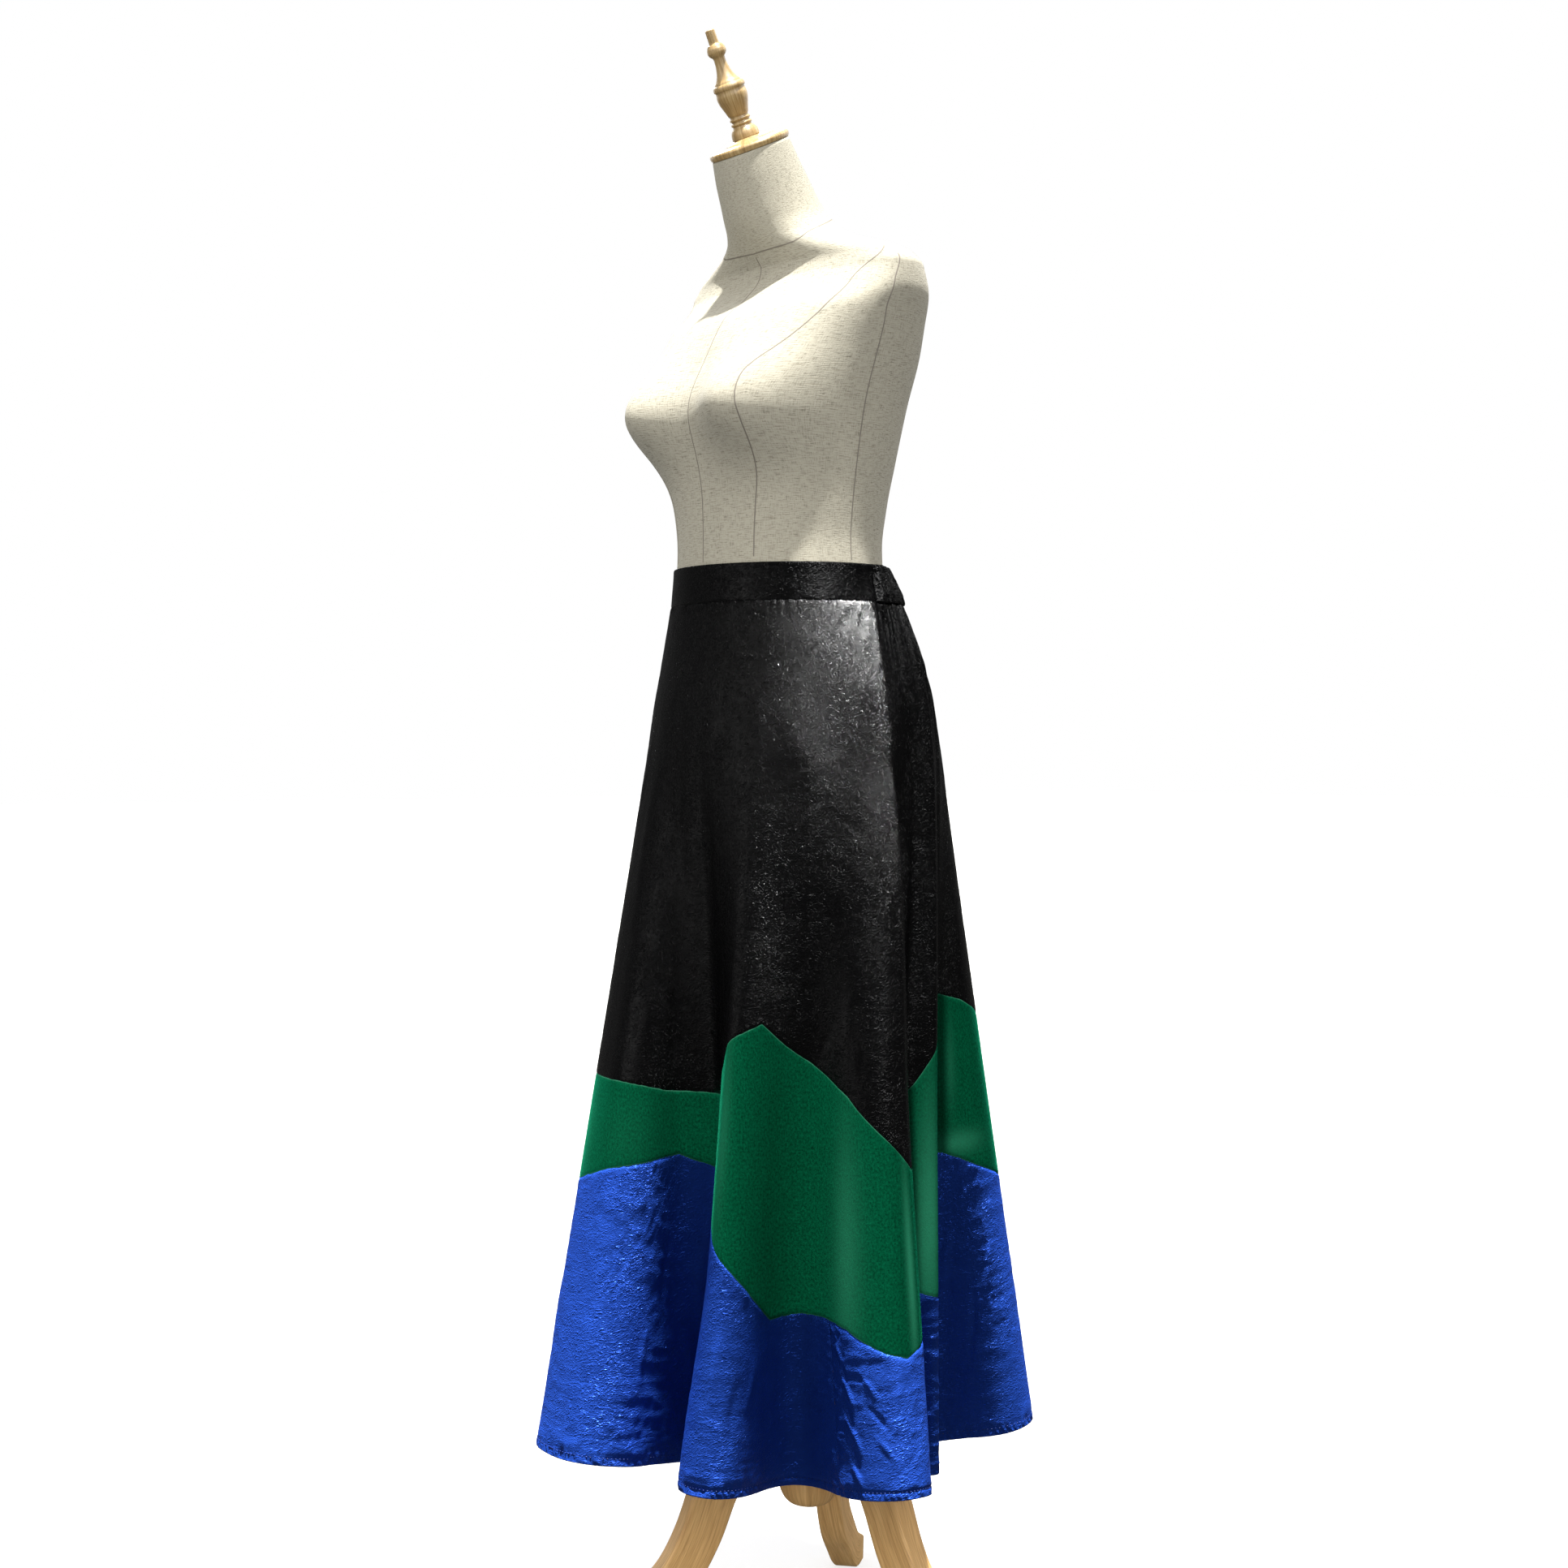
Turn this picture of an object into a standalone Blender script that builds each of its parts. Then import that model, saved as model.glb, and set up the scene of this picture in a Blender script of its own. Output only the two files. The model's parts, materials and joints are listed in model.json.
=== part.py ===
"""A flared, colour-blocked skirt worn by a limbless dress form on a wooden tripod stand.

Metres, +Z up, the front of the skirt towards -Y and the wearer's left towards +X.
A bearing is an angle in degrees round the form: 0 at the front, 90 at the wearer's left.
"""

import math

import bmesh
import bpy
import numpy as np

# Where the form's waist axis stands from the middle of the whole object's footprint
AXIS_X = -0.0032
AXIS_Y = 0.0020

# Heights above the floor
BAND_TOP = 1.120
BAND_HEIGHT = 0.039
BAND_BOTTOM = BAND_TOP - BAND_HEIGHT
TORSO_BOTTOM = 0.830

# Cloth and seams
CLOTH = 0.0012
BAND_CLOTH = 0.0024
SEAM_GAP = 0.0003
FORM_CLEARANCE = 0.0010
HIP_CLEARANCE = 0.0022
HIP_DROP = 0.06
FORM_EASE = 0.0015
BAND_LAP = 0.0008
SKIRT_LENGTH = 0.870
HEM_TURN = 0.012
HEM_EXTRA = 0.0006

# The elastic back waistband and the gathers below it
SIDE_BEARING = 96.8
BACK_STAND_OFF = 0.011
BACK_SPREAD = 22.0
BAND_RIPPLE = 0.0013
WAIST_RADIUS = 0.118
WAIST_HEM_RATIO = 0.31
GATHERS = 24
GATHER_COLUMNS = 5
GATHER_DEPTH = 0.0026
GATHER_FADE = 0.30
GATHER_ZONE = 0.27
PUFF = 0.027
PUFF_DROP = 0.22

# The smooth cone that the folds hang in from
CONE_HALF_WIDTH = 0.276
CONE_HALF_DEPTH = 0.267
CONE_SIDE_BEARING = 84.6
FOLD_GROWTH = 1.15

# The left side seam swings back over the hip and stands as a ridge, with a crease behind it
SWING = 0.012
SWING_DROP = 0.28
SWING_END = 0.62
SWING_SHARE = 0.16
FLANK = 0.017
FLANK_TURN = 0.625
FLANK_SHARE = 0.07
FLANK_RISE = (0.15, 0.50)
FLANK_FALL = (0.74, 1.00)
RIDGE = 0.005
RIDGE_SHARE = 0.016
CREASE = 0.007
CREASE_TURN = 1.030

# The hem seen from above, in order of bearing from the right side seam round the front:
# bearing (degrees), radius (m), lift of the hem (m), share of the drop where its fold starts
FRONT_HEM = (
    (-84.6, 0.264, 0.000, 0.10),
    (-73.0, 0.252, 0.000, 0.10),
    (-62.0, 0.262, 0.002, 0.10),
    (-52.0, 0.238, 0.002, 0.10),
    (-43.0, 0.178, 0.004, 0.14),
    (-34.0, 0.190, 0.006, 0.14),
    (-27.0, 0.246, 0.005, 0.10),
    (-19.0, 0.264, 0.006, 0.10),
    (-8.0, 0.266, 0.007, 0.10),
    (0.5, 0.261, 0.009, 0.10),
    (7.0, 0.232, 0.010, 0.10),
    (8.5, 0.190, 0.010, 0.12),
    (8.0, 0.140, 0.006, 0.14),
    (15.0, 0.112, 0.002, 0.14),
    (22.5, 0.150, 0.000, 0.14),
    (22.0, 0.202, 0.000, 0.12),
    (27.5, 0.230, 0.000, 0.10),
    (35.5, 0.241, 0.000, 0.10),
    (42.5, 0.212, 0.000, 0.12),
    (48.5, 0.172, 0.000, 0.16),
    (56.0, 0.160, 0.000, 0.18),
    (63.0, 0.172, 0.000, 0.16),
    (67.0, 0.216, 0.000, 0.12),
    (71.5, 0.257, 0.000, 0.10),
    (77.5, 0.275, 0.000, 0.08),
    (84.6, 0.258, 0.000, 0.04),
)
BACK_HEM = (
    (88.5, 0.205, -0.002, 0.02),
    (93.5, 0.160, -0.004, 0.02),
    (99.0, 0.174, -0.004, 0.03),
    (104.0, 0.195, -0.004, 0.05),
    (110.0, 0.174, -0.002, 0.06),
    (117.0, 0.136, 0.002, 0.08),
    (127.0, 0.150, 0.006, 0.10),
    (130.0, 0.195, 0.010, 0.10),
    (132.0, 0.235, 0.010, 0.10),
    (139.0, 0.258, 0.010, 0.10),
    (147.0, 0.261, 0.010, 0.10),
    (156.0, 0.245, 0.008, 0.10),
    (162.0, 0.195, 0.006, 0.12),
    (168.0, 0.158, 0.004, 0.14),
    (176.0, 0.176, 0.004, 0.14),
    (180.0, 0.230, 0.004, 0.12),
    (187.0, 0.262, 0.004, 0.10),
    (197.0, 0.256, 0.004, 0.10),
    (203.5, 0.205, 0.002, 0.12),
    (210.0, 0.160, 0.000, 0.14),
    (218.0, 0.178, 0.000, 0.14),
    (222.0, 0.232, 0.002, 0.12),
    (229.0, 0.262, 0.002, 0.10),
    (239.0, 0.258, 0.002, 0.10),
    (246.0, 0.212, 0.000, 0.12),
    (252.0, 0.168, 0.000, 0.14),
    (259.0, 0.188, 0.000, 0.12),
    (264.0, 0.238, 0.000, 0.10),
    (270.0, 0.262, 0.000, 0.10),
)

# The colour seams: share of the way round from the right side seam (0 to 1 on the front, 1 to 2
# on the back), and share of the way from the waist seam to the hem
UPPER_SEAM = (
    (0.000, 0.520),
    (0.070, 0.480),
    (0.150, 0.505),
    (0.240, 0.560),
    (0.500, 0.570),
    (0.620, 0.562),
    (0.694, 0.505),
    (0.757, 0.480),
    (0.833, 0.520),
    (0.904, 0.562),
    (0.951, 0.605),
    (1.000, 0.648),
    (1.094, 0.555),
    (1.118, 0.522),
    (1.152, 0.472),
    (1.205, 0.462),
    (1.254, 0.475),
    (1.299, 0.495),
    (1.390, 0.545),
    (1.470, 0.590),
    (1.550, 0.530),
    (1.620, 0.478),
    (1.720, 0.530),
    (1.800, 0.600),
    (1.890, 0.570),
    (2.000, 0.520),
)
LOWER_SEAM = (
    (0.000, 0.725),
    (0.060, 0.765),
    (0.150, 0.715),
    (0.240, 0.700),
    (0.327, 0.690),
    (0.430, 0.665),
    (0.530, 0.642),
    (0.620, 0.665),
    (0.699, 0.728),
    (0.766, 0.790),
    (0.792, 0.811),
    (0.830, 0.806),
    (0.861, 0.809),
    (0.900, 0.818),
    (0.950, 0.845),
    (0.972, 0.851),
    (1.000, 0.838),
    (1.080, 0.785),
    (1.140, 0.805),
    (1.208, 0.652),
    (1.239, 0.665),
    (1.299, 0.695),
    (1.400, 0.735),
    (1.480, 0.780),
    (1.540, 0.700),
    (1.620, 0.655),
    (1.700, 0.735),
    (1.790, 0.800),
    (1.850, 0.795),
    (1.920, 0.690),
    (2.000, 0.725),
)

# The lower tier's side seams: share of the way round at its top edge, and how far the seam leans
# towards the nearer side by the hem
LOWER_SIDE_SEAMS = ((0.132, -0.020), (0.868, 0.020))
LOWER_SEAM_SPREAD = 0.110

# Rings of the torso: height, middle (y), half width, depth to the front, depth to the back,
# squareness and forward tilt (degrees)
TORSO = (
    (0.830, 0.014, 0.132, 0.083, 0.098, 2.1, 0.0),
    (0.836, 0.013, 0.140, 0.090, 0.106, 2.1, 0.0),
    (0.850, 0.012, 0.145, 0.095, 0.112, 2.1, 0.0),
    (0.890, 0.009, 0.149, 0.102, 0.118, 2.1, 0.0),
    (0.930, 0.006, 0.150, 0.105, 0.118, 2.1, 0.0),
    (0.980, 0.002, 0.146, 0.105, 0.112, 2.1, 0.0),
    (1.030, -0.002, 0.137, 0.103, 0.104, 2.1, 0.0),
    (1.081, -0.004, 0.1255, 0.1005, 0.0990, 2.05, 0.0),
    (1.120, -0.005, 0.1180, 0.0985, 0.0970, 2.05, 0.0),
    (1.140, -0.005, 0.1175, 0.0980, 0.0965, 2.05, 0.0),
    (1.180, -0.004, 0.1215, 0.0995, 0.0985, 2.1, 0.0),
    (1.230, -0.002, 0.130, 0.104, 0.103, 2.2, 0.0),
    (1.280, 0.001, 0.140, 0.109, 0.106, 2.3, 0.0),
    (1.330, 0.007, 0.152, 0.101, 0.107, 2.4, 0.0),
    (1.370, 0.011, 0.163, 0.088, 0.103, 2.4, 0.0),
    (1.398, 0.017, 0.170, 0.065, 0.098, 2.2, 1.0),
    (1.418, 0.019, 0.169, 0.051, 0.089, 2.1, 2.0),
    (1.432, 0.018, 0.157, 0.047, 0.079, 2.1, 3.0),
    (1.443, 0.014, 0.131, 0.049, 0.068, 2.0, 5.0),
    (1.454, 0.006, 0.094, 0.049, 0.059, 2.0, 7.0),
    (1.467, -0.002, 0.067, 0.050, 0.053, 2.0, 10.0),
    (1.484, -0.012, 0.054, 0.050, 0.050, 2.0, 15.0),
    (1.508, -0.024, 0.0480, 0.0475, 0.0475, 2.0, 20.0),
    (1.530, -0.0345, 0.0445, 0.0445, 0.0445, 2.0, 23.0),
    (1.550, -0.0425, 0.0415, 0.0415, 0.0415, 2.0, 25.0),
)
BUST_APART = 0.082
BUST_HEIGHT = 1.274
BUST_RISE = 0.050
BUST_WIDTH = 0.058
BUST_ABOVE = 0.062
BUST_BELOW = 0.048
NECK_TILT = 25.0

# Turned pieces, outer side from the top down: height above the piece's foot, radius
NECK_CAP = (
    (0.0125, 0.018),
    (0.0105, 0.027),
    (0.0085, 0.031),
    (0.0080, 0.037),
    (0.0070, 0.0413),
    (0.0045, 0.0428),
    (0.0020, 0.0424),
    (0.0000, 0.0410),
)
FINIAL = (
    (0.1113, 0.0045),
    (0.1089, 0.0056),
    (0.1031, 0.0062),
    (0.0984, 0.0078),
    (0.0926, 0.0092),
    (0.0879, 0.0095),
    (0.0836, 0.0082),
    (0.0793, 0.0071),
    (0.0745, 0.0072),
    (0.0688, 0.0082),
    (0.0640, 0.0102),
    (0.0592, 0.0142),
    (0.0554, 0.0168),
    (0.0520, 0.0172),
    (0.0492, 0.0162),
    (0.0449, 0.0168),
    (0.0401, 0.0159),
    (0.0344, 0.0140),
    (0.0286, 0.0117),
    (0.0253, 0.0107),
    (0.0220, 0.0119),
    (0.0186, 0.0120),
    (0.0158, 0.0107),
    (0.0105, 0.0115),
    (0.0048, 0.0143),
    (0.0000, 0.0172),
)
HUB = (
    (0.164, 0.020),
    (0.158, 0.028),
    (0.150, 0.0320),
    (0.140, 0.0333),
    (0.040, 0.0333),
    (0.022, 0.0318),
    (0.010, 0.0270),
    (0.003, 0.0190),
    (0.000, 0.0080),
)
HUB_FOOT = 0.136
HUB_RADIUS = 0.0333
POLE_RADIUS = 0.0160
POLE_Y = 0.035

# The legs: bearings, and a leg's side view: distance out from the pole, height, depth
LEGS = (("leg_left", 100.0), ("leg_right", -20.0), ("leg_back", 220.0))
LEG_THICKNESS = 0.028
LEG_CHAMFER = 0.003
LEG_SIDE = (
    (0.0336, 0.222, 0.078),
    (0.0600, 0.220, 0.062),
    (0.0860, 0.200, 0.052),
    (0.1060, 0.160, 0.047),
    (0.1220, 0.118, 0.045),
    (0.1450, 0.078, 0.043),
    (0.1800, 0.046, 0.040),
    (0.2070, 0.0245, 0.0385),
    (0.2220, 0.0170, 0.0380),
    (0.2480, 0.0110, 0.0300),
)
LEG_RINGS = 13

FRONT_COLUMNS = 48
BACK_COLUMNS = GATHERS * GATHER_COLUMNS // 2
GATHER_ROWS = 4
UPPER_ROWS = 5
MIDDLE_ROWS = 3
LOWER_ROWS = 5
BAND_ROWS = 2
BAND_COLUMNS = 24
TORSO_SIDES = 32
TORSO_RING_STEP = 0.035
TURNED_SIDES = 14
CAP_SIDES = 24

# Steps of the table that the torso's radius under the skirt is read from (m, degrees), and how
# far below the torso its radius tapers off to nothing
TABLE_HEIGHT = 0.01
TABLE_BEARING = 3.0
TAPER_BELOW = 0.22

# Base colour and roughness of each material
COLOURS = {
    "black_satin": ((0.012, 0.012, 0.014), 0.38),
    "green_velvet": ((0.006, 0.110, 0.052), 0.85),
    "blue_taffeta": ((0.012, 0.050, 0.330), 0.36),
    "linen": ((0.62, 0.60, 0.54), 0.90),
    "turned_wood": ((0.52, 0.30, 0.10), 0.45),
    "stand_wood": ((0.46, 0.30, 0.15), 0.55),
}


def clear_scene():
    for obj in list(bpy.data.objects):
        bpy.data.objects.remove(obj, do_unlink=True)


def finish(name):
    material = bpy.data.materials.new(name)
    material.use_nodes = True
    colour, roughness = COLOURS[name]
    shader = material.node_tree.nodes["Principled BSDF"]
    shader.inputs["Base Color"].default_value = (*colour, 1.0)
    shader.inputs["Roughness"].default_value = roughness
    return material


def mesh_object(name, points, faces, material, parent, crease=40.0):
    """A closed mesh as a named object, shaded smooth except at its edges."""
    mesh = bpy.data.meshes.new(name)
    mesh.from_pydata([tuple(map(float, p)) for p in points], [], [tuple(f) for f in faces])
    shape = bmesh.new()
    shape.from_mesh(mesh)
    bmesh.ops.recalc_face_normals(shape, faces=shape.faces)
    shape.to_mesh(mesh)
    shape.free()
    mesh.shade_smooth()
    mesh.set_sharp_from_angle(angle=math.radians(crease))
    mesh.materials.append(material)
    obj = bpy.data.objects.new(name, mesh)
    bpy.context.scene.collection.objects.link(obj)
    obj.parent = parent
    return obj


def through(knots, values, at):
    """A monotone cubic curve through a table's column."""
    knots, values = np.asarray(knots, float), np.asarray(values, float)
    at = np.clip(np.asarray(at, float), knots[0], knots[-1])
    steps = np.diff(knots)
    slopes = np.diff(values) / steps
    before, after = slopes[:-1], slopes[1:]
    same_way = before * after > 0
    total = np.where(same_way, before + after, 1.0)
    inner = np.where(same_way, 2 * before * after / total, 0.0)
    tangents = np.concatenate([[slopes[0]], inner, [slopes[-1]]])
    i = np.clip(np.searchsorted(knots, at, side="right") - 1, 0, len(steps) - 1)
    t = (at - knots[i]) / steps[i]
    return (
        (1 + 2 * t) * (1 - t) ** 2 * values[i]
        + t * (1 - t) ** 2 * steps[i] * tangents[i]
        + t * t * (3 - 2 * t) * values[i + 1]
        - t * t * (1 - t) * steps[i] * tangents[i + 1]
    )


def ease(t):
    """0 to 1, level at both ends."""
    t = np.clip(t, 0.0, 1.0)
    return t * t * (3 - 2 * t)


def plan(bearing, radius):
    """Bearing and radius round the form to x, y."""
    angle = np.radians(bearing)
    return np.stack([radius * np.sin(angle), -radius * np.cos(angle)], axis=-1)


def ellipse_radius(bearing, half_width, half_depth):
    angle = np.radians(bearing)
    return 1.0 / np.sqrt((np.sin(angle) / half_width) ** 2 + (np.cos(angle) / half_depth) ** 2)


def torso_ring(height, turns):
    """Points of the torso's ring that belongs to a height, at shares of a turn from the front."""
    rows = np.array(TORSO)
    middle, width, front, back, square, tilt = (
        float(through(rows[:, 0], rows[:, column], height)) for column in range(1, 7)
    )
    angle = 2 * math.pi * np.asarray(turns)
    across, along = np.sin(angle), -np.cos(angle)
    power = 2.0 / square
    x = width * np.sign(across) * np.abs(across) ** power
    depth = np.where(along < 0, front, back)
    y = depth * np.sign(along) * np.abs(along) ** power
    z = np.full_like(x, height)
    spread = BUST_ABOVE if height > BUST_HEIGHT else BUST_BELOW
    level = math.exp(-(((height - BUST_HEIGHT) / spread) ** 2))
    for side in (-1, 1):
        near = np.exp(-(((x - side * BUST_APART) / BUST_WIDTH) ** 2))
        y = y - np.where(along < 0, BUST_RISE * level * near * ease(-1.6 * along), 0.0)
    lean = math.radians(tilt)
    return np.stack([x, middle + y * math.cos(lean), z + y * math.sin(lean)], axis=-1)


def torso_radius_table():
    """The torso's radius about the waist axis, by height and bearing, tapering off below it."""
    heights = np.arange(TORSO_BOTTOM + 0.03, BAND_TOP + 0.02, TABLE_HEIGHT)
    bearings = np.arange(-180.0, 181.0, TABLE_BEARING)
    table = []
    for height in heights:
        ring = torso_ring(height, np.linspace(0, 1, 241))
        seen = np.degrees(np.arctan2(ring[:, 0], -ring[:, 1]))
        order = np.argsort(seen)
        radius = np.hypot(ring[:, 0], ring[:, 1])
        table.append(np.interp(bearings, seen[order], radius[order], period=360.0))
    return heights, np.array(table)


TORSO_HEIGHTS, TORSO_RADII = torso_radius_table()


def torso_radius(bearing, height):
    """Read from the table between its rows and columns."""
    bearing = (np.asarray(bearing, float) + 180.0) % 360.0
    row = np.clip((height - TORSO_HEIGHTS[0]) / TABLE_HEIGHT, 0, len(TORSO_HEIGHTS) - 1.001)
    column = np.clip(bearing / TABLE_BEARING, 0, TORSO_RADII.shape[1] - 1.001)
    i, j = row.astype(int), column.astype(int)
    s, t = row - i, column - j
    radius = (
        TORSO_RADII[i, j] * (1 - s) * (1 - t)
        + TORSO_RADII[i + 1, j] * s * (1 - t)
        + TORSO_RADII[i, j + 1] * (1 - s) * t
        + TORSO_RADII[i + 1, j + 1] * s * t
    )
    below = np.clip((TORSO_HEIGHTS[0] - height) / TAPER_BELOW, 0.0, 1.0)
    return radius * (1 - below**2)


def back_share(bearing):
    """0 on the front and at the side seams, 1 on the back."""
    from_front = np.abs((np.asarray(bearing, float) + 180.0) % 360.0 - 180.0)
    return ease((from_front - SIDE_BEARING) / BACK_SPREAD)


def band_radius(bearing, height):
    """Outer radius of the waistband: close to the form, standing off behind, low down."""
    down = np.clip((BAND_TOP - height) / BAND_HEIGHT, 0.0, 1.0)
    stand_off = BACK_STAND_OFF * np.sin(0.5 * math.pi * down) * back_share(bearing)
    return torso_radius(bearing, height) + FORM_CLEARANCE + BAND_CLOTH + stand_off


class Skirt:
    """The cloth's surface, by distance round the hem (m) and share of the drop to the hem."""

    def __init__(self):
        rows = np.array(FRONT_HEM + BACK_HEM + FRONT_HEM[:1])
        points = plan(rows[:, 0], rows[:, 1])
        steps = np.hypot(*np.diff(points, axis=0).T)
        knots = np.concatenate([[0.0], np.cumsum(steps)])
        fine = np.linspace(0.0, knots[-1], 4001)
        x, y = (self.closed_curve(knots, column, fine) for column in points.T)
        self.lift = np.interp(fine, knots, rows[:, 2])
        self.start = np.interp(fine, knots, rows[:, 3])
        arc = np.concatenate([[0.0], np.cumsum(np.hypot(np.diff(x), np.diff(y)))])
        self.arc, self.x, self.y = arc, x, y
        self.front = float(np.interp(knots[len(FRONT_HEM) - 1], fine, arc))
        self.hem = float(arc[-1])

    @staticmethod
    def closed_curve(knots, values, at):
        """A smooth closed curve through values at knots, whose first and last are the same."""
        n = len(knots) - 1
        steps = np.diff(knots)
        slopes = np.diff(values) / steps
        system = np.zeros((n, n))
        right = np.zeros(n)
        for i in range(n):
            before, after = steps[i - 1], steps[i]
            system[i, (i - 1) % n] += after
            system[i, i] += 2 * (before + after)
            system[i, (i + 1) % n] += before
            right[i] = 3 * (after * slopes[i - 1] + before * slopes[i])
        tangents = np.linalg.solve(system, right)
        tangents = np.append(tangents, tangents[0])
        i = np.clip(np.searchsorted(knots, at, side="right") - 1, 0, n - 1)
        t = (at - knots[i]) / steps[i]
        return (
            (1 + 2 * t) * (1 - t) ** 2 * values[i]
            + t * (1 - t) ** 2 * steps[i] * tangents[i]
            + t * t * (3 - 2 * t) * values[i + 1]
            - t * t * (1 - t) * steps[i] * tangents[i + 1]
        )

    def turn(self, along):
        """Distance round the hem as 0 to 1 on the front and 1 to 2 on the back."""
        back = 1 + (along - self.front) / (self.hem - self.front)
        return np.where(along <= self.front, along / self.front, back)

    def along(self, turn):
        back = self.front + (turn - 1) * (self.hem - self.front)
        return np.where(turn <= 1, turn * self.front, back)

    @staticmethod
    def bearing(turn, side):
        """Bearing of a turn on a ring whose side seams stand at this bearing."""
        back = side + (turn - 1) * (360.0 - 2 * side)
        return np.where(turn <= 1, (2 * turn - 1) * side, back)

    def gathers(self, turn, drop):
        """How far the gathers of the back stand out."""
        across = np.clip(turn - 1, 0.0, 1.0)
        ends = ease(across / 0.05) * ease((1 - across) / 0.05)
        uneven = 1 + 0.30 * np.sin(2 * math.pi * across * 7.3 + 1.0)
        length = GATHER_FADE * (1 + 0.35 * np.sin(2 * math.pi * across * 5.1 + 2.2))
        fade = np.clip(1 - drop / length, 0.0, 1.0) ** 1.4
        return GATHER_DEPTH * ends * uneven * fade * np.cos(2 * math.pi * GATHERS * across)

    @staticmethod
    def side_swing(turn, drop):
        """How far the cloth at the left side seam swings back, round the form."""
        near = np.exp(-(((turn - 1) / SWING_SHARE) ** 2))
        fall = np.where(
            drop < SWING_DROP,
            ease(drop / SWING_DROP),
            ease((SWING_END - drop) / (SWING_END - SWING_DROP)),
        )
        return SWING * near * fall

    @staticmethod
    def flank_swing(turn, drop):
        """How far the right flank of the front's left fold is drawn in, round the form."""
        near = np.exp(-(((turn - FLANK_TURN) / FLANK_SHARE) ** 4))
        rise = ease((drop - FLANK_RISE[0]) / (FLANK_RISE[1] - FLANK_RISE[0]))
        fall = ease((FLANK_FALL[1] - drop) / (FLANK_FALL[1] - FLANK_FALL[0]))
        return FLANK * near * rise * fall

    @staticmethod
    def side_ridge(turn, drop):
        """The left side seam's ridge and the crease behind it."""
        starts = ease(drop / 0.03)
        ridge = RIDGE * np.exp(-(((turn - 1) / RIDGE_SHARE) ** 2))
        crease = CREASE * np.exp(-(((turn - CREASE_TURN) / RIDGE_SHARE) ** 2))
        return starts * (ridge - crease * (1 - 0.8 * drop))

    def point(self, along, drop):
        along, drop = np.broadcast_arrays(np.asarray(along, float), np.asarray(drop, float))
        along = along % self.hem
        turn = self.turn(along)
        waist_bearing = self.bearing(turn, SIDE_BEARING)
        waist = plan(waist_bearing, band_radius(waist_bearing, BAND_BOTTOM) - BAND_LAP)
        cone_bearing = self.bearing(turn, CONE_SIDE_BEARING)
        cone = plan(cone_bearing, ellipse_radius(cone_bearing, CONE_HALF_WIDTH, CONE_HALF_DEPTH))
        hem = np.stack(
            [np.interp(along, self.arc, self.x), np.interp(along, self.arc, self.y)], axis=-1
        )
        lift = np.interp(along, self.arc, self.lift)
        start = np.interp(along, self.arc, self.start)[..., None]
        v = drop[..., None]
        hang = np.clip((v - start) / (1 - start), 0.0, 1.0) ** FOLD_GROWTH
        flat = waist + (cone - waist) * v + (hem - cone) * hang
        reach = np.hypot(*np.moveaxis(hem - waist, -1, 0))
        height = BAND_BOTTOM - SEAM_GAP - drop * (np.sqrt(SKIRT_LENGTH**2 - reach**2) - lift)
        bearing = np.degrees(np.arctan2(flat[..., 0], -flat[..., 1]))
        radius = np.hypot(flat[..., 0], flat[..., 1])
        puff = 1 - (1 - np.clip(drop / PUFF_DROP, 0.0, 1.0)) ** 2
        radius = radius + PUFF * puff * (1 - drop) * back_share(waist_bearing)
        radius = radius + self.gathers(turn, drop) + self.side_ridge(turn, drop)
        swing = self.side_swing(turn, drop) + self.flank_swing(turn, drop)
        bearing = bearing + np.degrees(swing / radius)
        clear = FORM_CLEARANCE + HIP_CLEARANCE * ease(drop / HIP_DROP)
        least = torso_radius(bearing, height) + clear + CLOTH
        radius = least + FORM_EASE * np.logaddexp(0.0, (radius - least) / FORM_EASE)
        return np.concatenate([plan(bearing, radius), height[..., None]], axis=-1)

    def normal(self, along, drop):
        """Unit normals, outwards."""
        step, fall = 0.0015, 0.002
        across = self.point(along + step, drop) - self.point(along - step, drop)
        down = self.point(along, np.minimum(drop + fall, 1.0))
        down = down - self.point(along, np.maximum(drop - fall, 0.0))
        normal = np.cross(down, across)
        return normal / np.linalg.norm(normal, axis=-1, keepdims=True)


SKIRT = Skirt()


def seam_drop(table, along):
    """A colour seam's height on the cloth."""
    rows = np.array(table)
    return np.interp(SKIRT.turn(along), rows[:, 0], rows[:, 1])


def columns_round():
    """Columns of cloth all the way round, with columns at the seams' corners and the side seams."""
    corners = [0.0, 1.0, 2.0] + [turn for turn, _ in LOWER_SIDE_SEAMS]
    corners = set(corners + [turn for turn, _ in UPPER_SEAM + LOWER_SEAM])
    turns = np.concatenate(
        [np.linspace(0, 1, FRONT_COLUMNS + 1), np.linspace(1, 2, BACK_COLUMNS + 1)[1:]]
    )
    free = np.ones(len(turns), bool)
    for corner in sorted(corners):
        distance = np.where(free, np.abs(turns - corner), np.inf)
        nearest = int(np.argmin(distance))
        turns[nearest] = corner
        free[nearest] = False
    return SKIRT.along(np.sort(turns))


def rows_between(columns, top, bottom, count):
    """Rows of cloth points (distance round, drop) from an upper to a lower edge."""
    return [(columns, top + (bottom - top) * share) for share in np.linspace(0.0, 1.0, count + 1)]


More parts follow.
